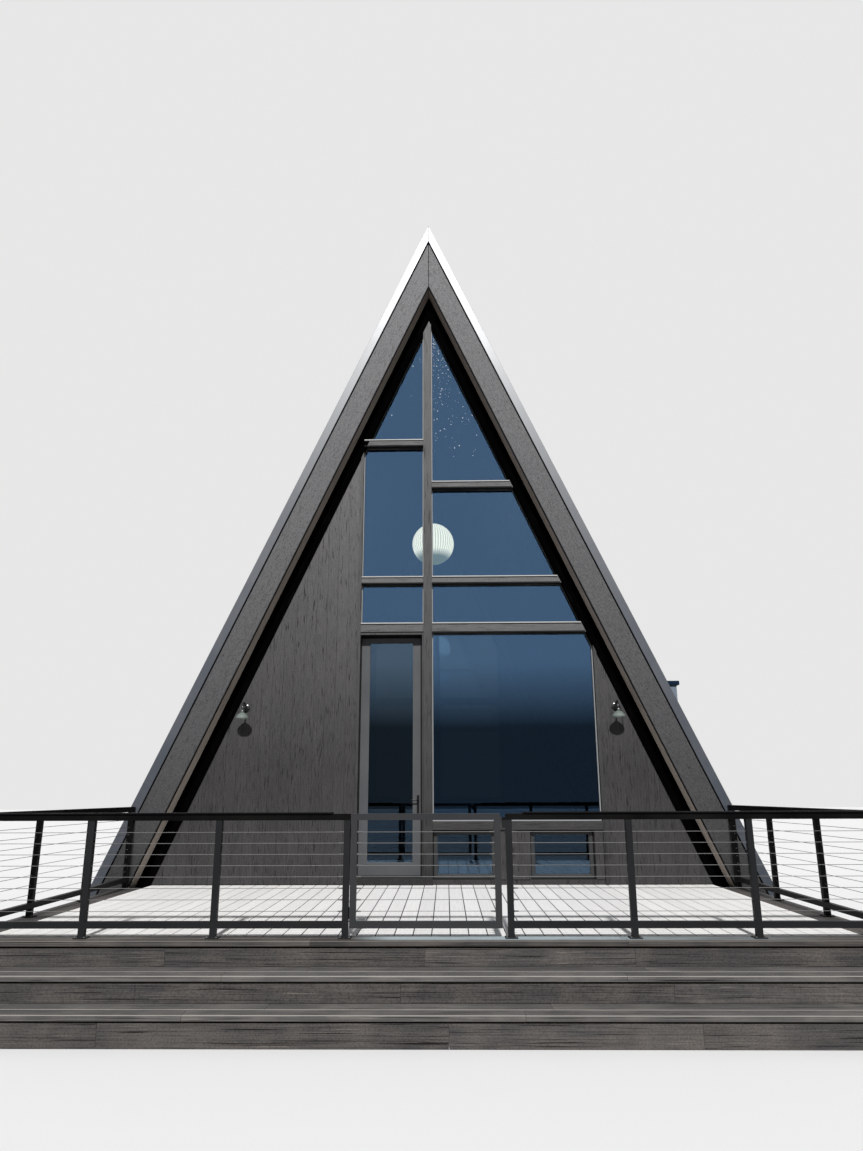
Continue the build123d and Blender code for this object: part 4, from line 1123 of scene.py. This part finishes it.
def skins(name, grids, material, body="cabin", stands_for=(), smooth=True):
    """Closed shapes from grids[station, point]: rings joined by quads, with both ends closed."""
    points, faces, start = [], [], 0
    for grid in grids:
        stations, count = grid.shape[:2]
        index = start + np.arange(stations * count).reshape(stations, count)
        ahead = np.roll(index, -1, axis=1)
        faces += np.stack([index[:-1], ahead[:-1], ahead[1:], index[1:]], -1).reshape(-1, 4).tolist()
        faces += [index[0, ::-1].tolist(), index[-1].tolist()]
        points.append(grid.reshape(-1, 3))
        start += stations * count
    mesh = closed_mesh(name, np.concatenate(points).tolist(), faces, merged=True)
    if smooth:
        mesh.shade_smooth()
        mesh.set_sharp_from_angle(angle=math.radians(38))
    print(name, len(grids))
    return place_piece(name, mesh, material, body, stands_for)


print("points of a turned ring:", turned([(1, 0)], (0, 0, 0)).shape[1])

# %% [markdown]
# ## Wall lamps
# A round plate on the boards, a gooseneck that rises and turns down, and a shallow dome with a rolled
# rim. The neck is a cubic curve with four control points, and the dome's profile goes out over the
# top and back inside, which gives the sheet its thickness.

# %% Wall lamps
lamp_x, lamp_reach = high("wall_lamps")[0] - 0.098, 0.190
plate_height, shade_base = deck_top + 2.185, deck_top + 2.038
plate = [(0, 0), (0.058, 0), (0.060, 0.004), (0.059, 0.012), (0.048, 0.018), (0.016, 0.0195), (0, 0.0198)]
collar = [(0, 0.112), (0.0125, 0.112), (0.0155, 0.106), (0.0155, 0.094), (0.0125, 0.088), (0.020, 0.082)]
collar.append((0, 0.076))
dome = [(0, 0.080), (0.020, 0.0795), (0.036, 0.074), (0.056, 0.058), (0.072, 0.041), (0.083, 0.026)]
rim = [(0.087, 0.018), (0.0845, 0.014), (0.0870, 0.010), (0.0975, 0.006), (0.0980, 0.002), (0.0960, 0)]
lining = [(0.093, 0.002), (0.084, 0.012), (0.070, 0.036), (0.053, 0.053), (0.033, 0.068), (0, 0.074)]
share = np.linspace(0, 1, 24)[:, None]
plates, necks, shades = [], [], []
for x in (-lamp_x, lamp_x):
    disc = turned(plate, (0, 0, 0), 40)
    plates.append(np.stack([x + disc[..., 0], wall_front - disc[..., 2], plate_height + disc[..., 1]], -1))
    start = np.array([x, wall_front - 0.016, plate_height])
    lift = np.array([x, wall_front - 0.085, plate_height + 0.105])
    crown = np.array([x, wall_front - lamp_reach, plate_height + 0.085])
    end = np.array([x, wall_front - lamp_reach, shade_base + 0.088])
    curve = (1 - share) ** 3 * start + 3 * (1 - share) ** 2 * share * lift
    curve = curve + 3 * (1 - share) * share**2 * crown + share**3 * end
    necks.append(tube(curve, 0.0105, 16))
    centre = (x, wall_front - lamp_reach, shade_base)
    shades += [turned(collar, centre, 32), turned(dome + rim + lining, centre, 56)]
skins("lamp_arms", plates + necks, black_metal, stands_for=["wall_lamps"])
skins("lamp_shades", shades, lamp_metal, stands_for=["wall_lamps"])

# %% [markdown]
# ## The paper globe
# A paper lantern is a sphere of upright hoops with paper between them. Its radius is the sphere's, less
# a small hollow between each two hoops, which fades to nothing at the poles where the hoops meet.

# %% Paper globe
globe_low, globe_high = ends("pendant_lamp")
globe_radius = (globe_high[0] - globe_low[0]) / 2
globe_y = (globe_low[1] + globe_high[1]) / 2
globe_centre = np.array([0.0, globe_y, globe_low[2] + globe_radius])
ribs, per_rib, hollow = 48, 8, 0.016
turns = np.linspace(0, np.pi, 49)
sphere = np.stack([globe_radius * np.sin(turns), globe_radius * np.cos(turns)], -1)
globe = turned(sphere, (0, 0, 0), ribs * per_rib)
around = np.linspace(0, ribs, ribs * per_rib, endpoint=False) % 1
globe *= 1 - hollow * (np.sin(np.pi * around) * np.sin(turns)[:, None])[..., None]
lantern = skins("paper_globe", [globe + globe_centre], paper, stands_for=["pendant_lamp"])
# Painted shade along the hoops: the faces beside each hoop are marked.
middles = np.array([face.center[:] for face in lantern.data.polygons]) - globe_centre
seat = (np.arctan2(middles[:, 1], middles[:, 0]) / (2 * np.pi) * ribs) % 1
note(lantern.data, "crease_shade", (np.abs(seat - 0.5) > 0.3) * 0.55)
flex_ends = (globe_centre[2] + globe_radius - 0.01, globe_high[2] - 0.01)
flex_path = np.linspace([0, globe_y, flex_ends[0]], [0, globe_y, flex_ends[1]], 3)
rose_profile = [(0, -0.03), (0.034, -0.03), (0.040, -0.024), (0.040, 0.0), (0, 0)]
rose = turned(rose_profile, (0, globe_y, globe_high[2]), 32)
skins("globe_flex", [tube(flex_path, 0.005, 12), rose], black_metal, stands_for=["pendant_lamp"])

# %% [markdown]
# ## Railing cables and fittings
# Eight stainless cables run through the posts. Each is a thin tube, and a small turned stud holds it
# where a run ends. The cables are repeated often, so each has few sides.

# %% Cables
rail_y, rail_half = deck_front + 0.135, 0.025
cable_heights = deck_top + 0.196 + 0.0856 * np.arange(8)
cable_end, gate_low, gate_high = high("railing_cables")[1], *ends("gate_cables")
cable_radius = 0.0022
gate_centre, gate_half = 0.051, 0.655
side_rail = (low("railing_side_right")[0] + high("railing_side_right")[0]) / 2


def stud(place, way):
    """A short turned fitting along an axis: a collar that narrows onto the cable."""
    profile = [(0, 0), (0.008, 0), (0.008, 0.006), (0.0055, 0.009), (0.0050, 0.034), (0.0032, 0.040)]
    profile.append((0, 0.040))
    grid = turned(profile, (0, 0, 0), 10)
    over = np.array([0.0, 0.0, 1.0])
    third = np.cross(way, over)
    return place + grid[..., 2:] * way + grid[..., :1] * over + grid[..., 1:2] * third


def spans_at(z):
    """The ends of the fixed cables at a height: two runs in front, and one on each side."""
    first, last = gate_centre - gate_half - rail_half, gate_centre + gate_half + rail_half
    spans = [((rail_half - side_rail, rail_y, z), (first, rail_y, z))]
    spans.append(((last, rail_y, z), (side_rail - rail_half, rail_y, z)))
    return spans + [((x, rail_y + rail_half, z), (x, cable_end, z)) for x in (-side_rail, side_rail)]


fixed_spans = [span for z in cable_heights for span in spans_at(z)]
gate_spans = [((gate_low[0], rail_y, z), (gate_high[0], rail_y, z)) for z in cable_heights]
for name, node, body, spans in (
    ("cable_runs", "railing_cables", "cabin", fixed_spans),
    ("gate_cable_runs", "gate_cables", "gate", gate_spans),
):
    runs = [tube(span, cable_radius, 8) for span in spans]
    skins(name, runs, cable_metal, body, [node])
for name, body, spans in (("cable_studs", "cabin", fixed_spans), ("gate_cable_studs", "gate", gate_spans)):
    studs = []
    for start, end in np.array(spans):
        way = (end - start) / np.linalg.norm(end - start)
        studs += [stud(start, way), stud(end, -way)]
    skins(name, studs, cable_metal, body)

# %% [markdown]
# ## Door handle
# A long plate and a lever on each face of the leaf. The lever is a rounded bar that comes straight out
# and turns along the door: one tube along a bent path that narrows at its end.

# %% Door handle
handle_low, handle_high = ends("door_handle")
plate_half, plate_thick, lever_out = 0.016, 0.008, 0.061
handle_x = handle_high[0] - plate_half
lever_z = deck_top + 1.018
levers, plates = [], []
for face, way in ((low("door_leaf")[1], -1), (wall_front + 0.170, 1)):
    path = [(0, d) for d in (0.008, 0.030, 0.048)] + [(0.004, 0.057)]
    path += [(along, lever_out) for along in (0.014, 0.030, 0.060, 0.085, 0.0915)]
    path = [(handle_x - along, face + way * out, lever_z) for along, out in path]
    levers.append(tube(path, [0.0095] * 8 + [0.006], 16))
    near, far = sorted((face + way * 0.0003, face + way * plate_thick))
    plates.append((handle_x - plate_half, handle_x + plate_half, near, far, handle_low[2], handle_high[2]))
skins("door_levers", levers, lever_black, "door", ["door_handle"])
boards("door_plates", plates, 0.003, 2, black_metal, ["door_handle"], "black_metal", "door")

# %% [markdown]
# ## Bolts
# Each railing post stands on a plate with four bolts. A bolt's head is a low six-sided cap, which is
# few enough faces to repeat over fifty times.

# %% Bolts on the base plates
post_x = [-side_rail, -2.692, -1.648, -0.604, 0.706, 1.673, 2.640, side_rail]
side_bay = (high("railing_side_right")[1] - 0.05 - rail_y) / 3
places = [(x, rail_y) for x in post_x]
places += [(x, rail_y + side_bay * i) for x in (-side_rail, side_rail) for i in (1, 2, 3)]
bolt_set, plate_top = 0.037, deck_top + 0.008
bolt = [(0, 0), (0.008, 0), (0.008, 0.005), (0.006, 0.007), (0, 0.007)]
heads = [
    turned(bolt, (x + dx, y + dy, plate_top), 6)
    for x, y in places
    for dy in (-bolt_set, bolt_set)
    for dx in (-bolt_set, bolt_set)
]
skins("plate_bolts", heads, cable_metal, smooth=False)

# %% [markdown]
# ## The studio
# A pale floor and an even pale surround stand in for the place. One broad light stands for the sun: it
# comes from behind the camera and 39 degrees up, as the shadows of the lamps and the railing in the
# photograph show. The surround is pale to the camera. As a light it is weak in front, which keeps the
# shadows as deep as on a clear day, and stronger behind, so that the far side of the roof can be seen
# too. In reflections it is white above and dark near the horizon, so that the lower panes are dark and
# the upper ones take their blue. The floor throws back little light.

# %% Floor, surround and light
span, ground = 90.0, -0.002
floor_mesh = bpy.data.meshes.new("studio_floor")
floor_corners = [(x, y, ground) for x, y in ((-span, -span), (span, -span), (span, span), (-span, span))]
floor_mesh.from_pydata(floor_corners, [], [(0, 1, 2, 3)])
studio_floor = put("studio_floor", floor_mesh)
floor_finish, tree, shader = finish("studio floor", {"Roughness": 0.9, "Specular IOR Level": 0.1})
path = add(tree, "ShaderNodeLightPath").outputs
colour = mixed(tree, noise(tree, place_in(tree), 0.4), (0.86, 0.86, 0.86, 1), (0.88, 0.88, 0.88, 1))
colour = mixed(tree, path["Is Camera Ray"], (0.24, 0.24, 0.24, 1), colour)
tree.links.new(colour, shader.inputs["Base Color"])
floor_mesh.materials.append(floor_finish)

fill, rear_fill, backdrop, dark_low = 0.06, 0.60, 0.80, 0.12
horizon = (math.sin(math.radians(4.5)), math.sin(math.radians(9.0)))
surround = bpy.data.worlds.new("surround")
scene.world = surround
surround.use_nodes = True
tree = surround.node_tree
path = add(tree, "ShaderNodeLightPath").outputs
looking = parts(tree, add(tree, "ShaderNodeTexCoord").outputs["Generated"])
light = spread(tree, looking[1], -0.1, 0.7, fill, rear_fill)
mirrored = spread(tree, looking[2], *horizon, dark_low, 1.0)
strength = add(tree, "ShaderNodeMix", {0: path["Is Glossy Ray"], 2: light, 3: mirrored}).outputs[0]
strength = add(tree, "ShaderNodeMix", {0: path["Is Camera Ray"], 2: strength, 3: backdrop}).outputs[0]
background = tree.nodes["Background"]
background.inputs["Color"].default_value = (1, 1, 1, 1)
tree.links.new(strength, background.inputs["Strength"])

sun_data = bpy.data.lights.new("key", "SUN")
sun_data.energy = 4.0
sun_data.angle = math.radians(3.0)
sun = put("key", sun_data)
sun.rotation_euler = (math.radians(90 - 39), 0, 0)
scene.view_settings.view_transform = "Standard"
print("backdrop", backdrop, "fill", fill, rear_fill, "sun", sun_data.energy)
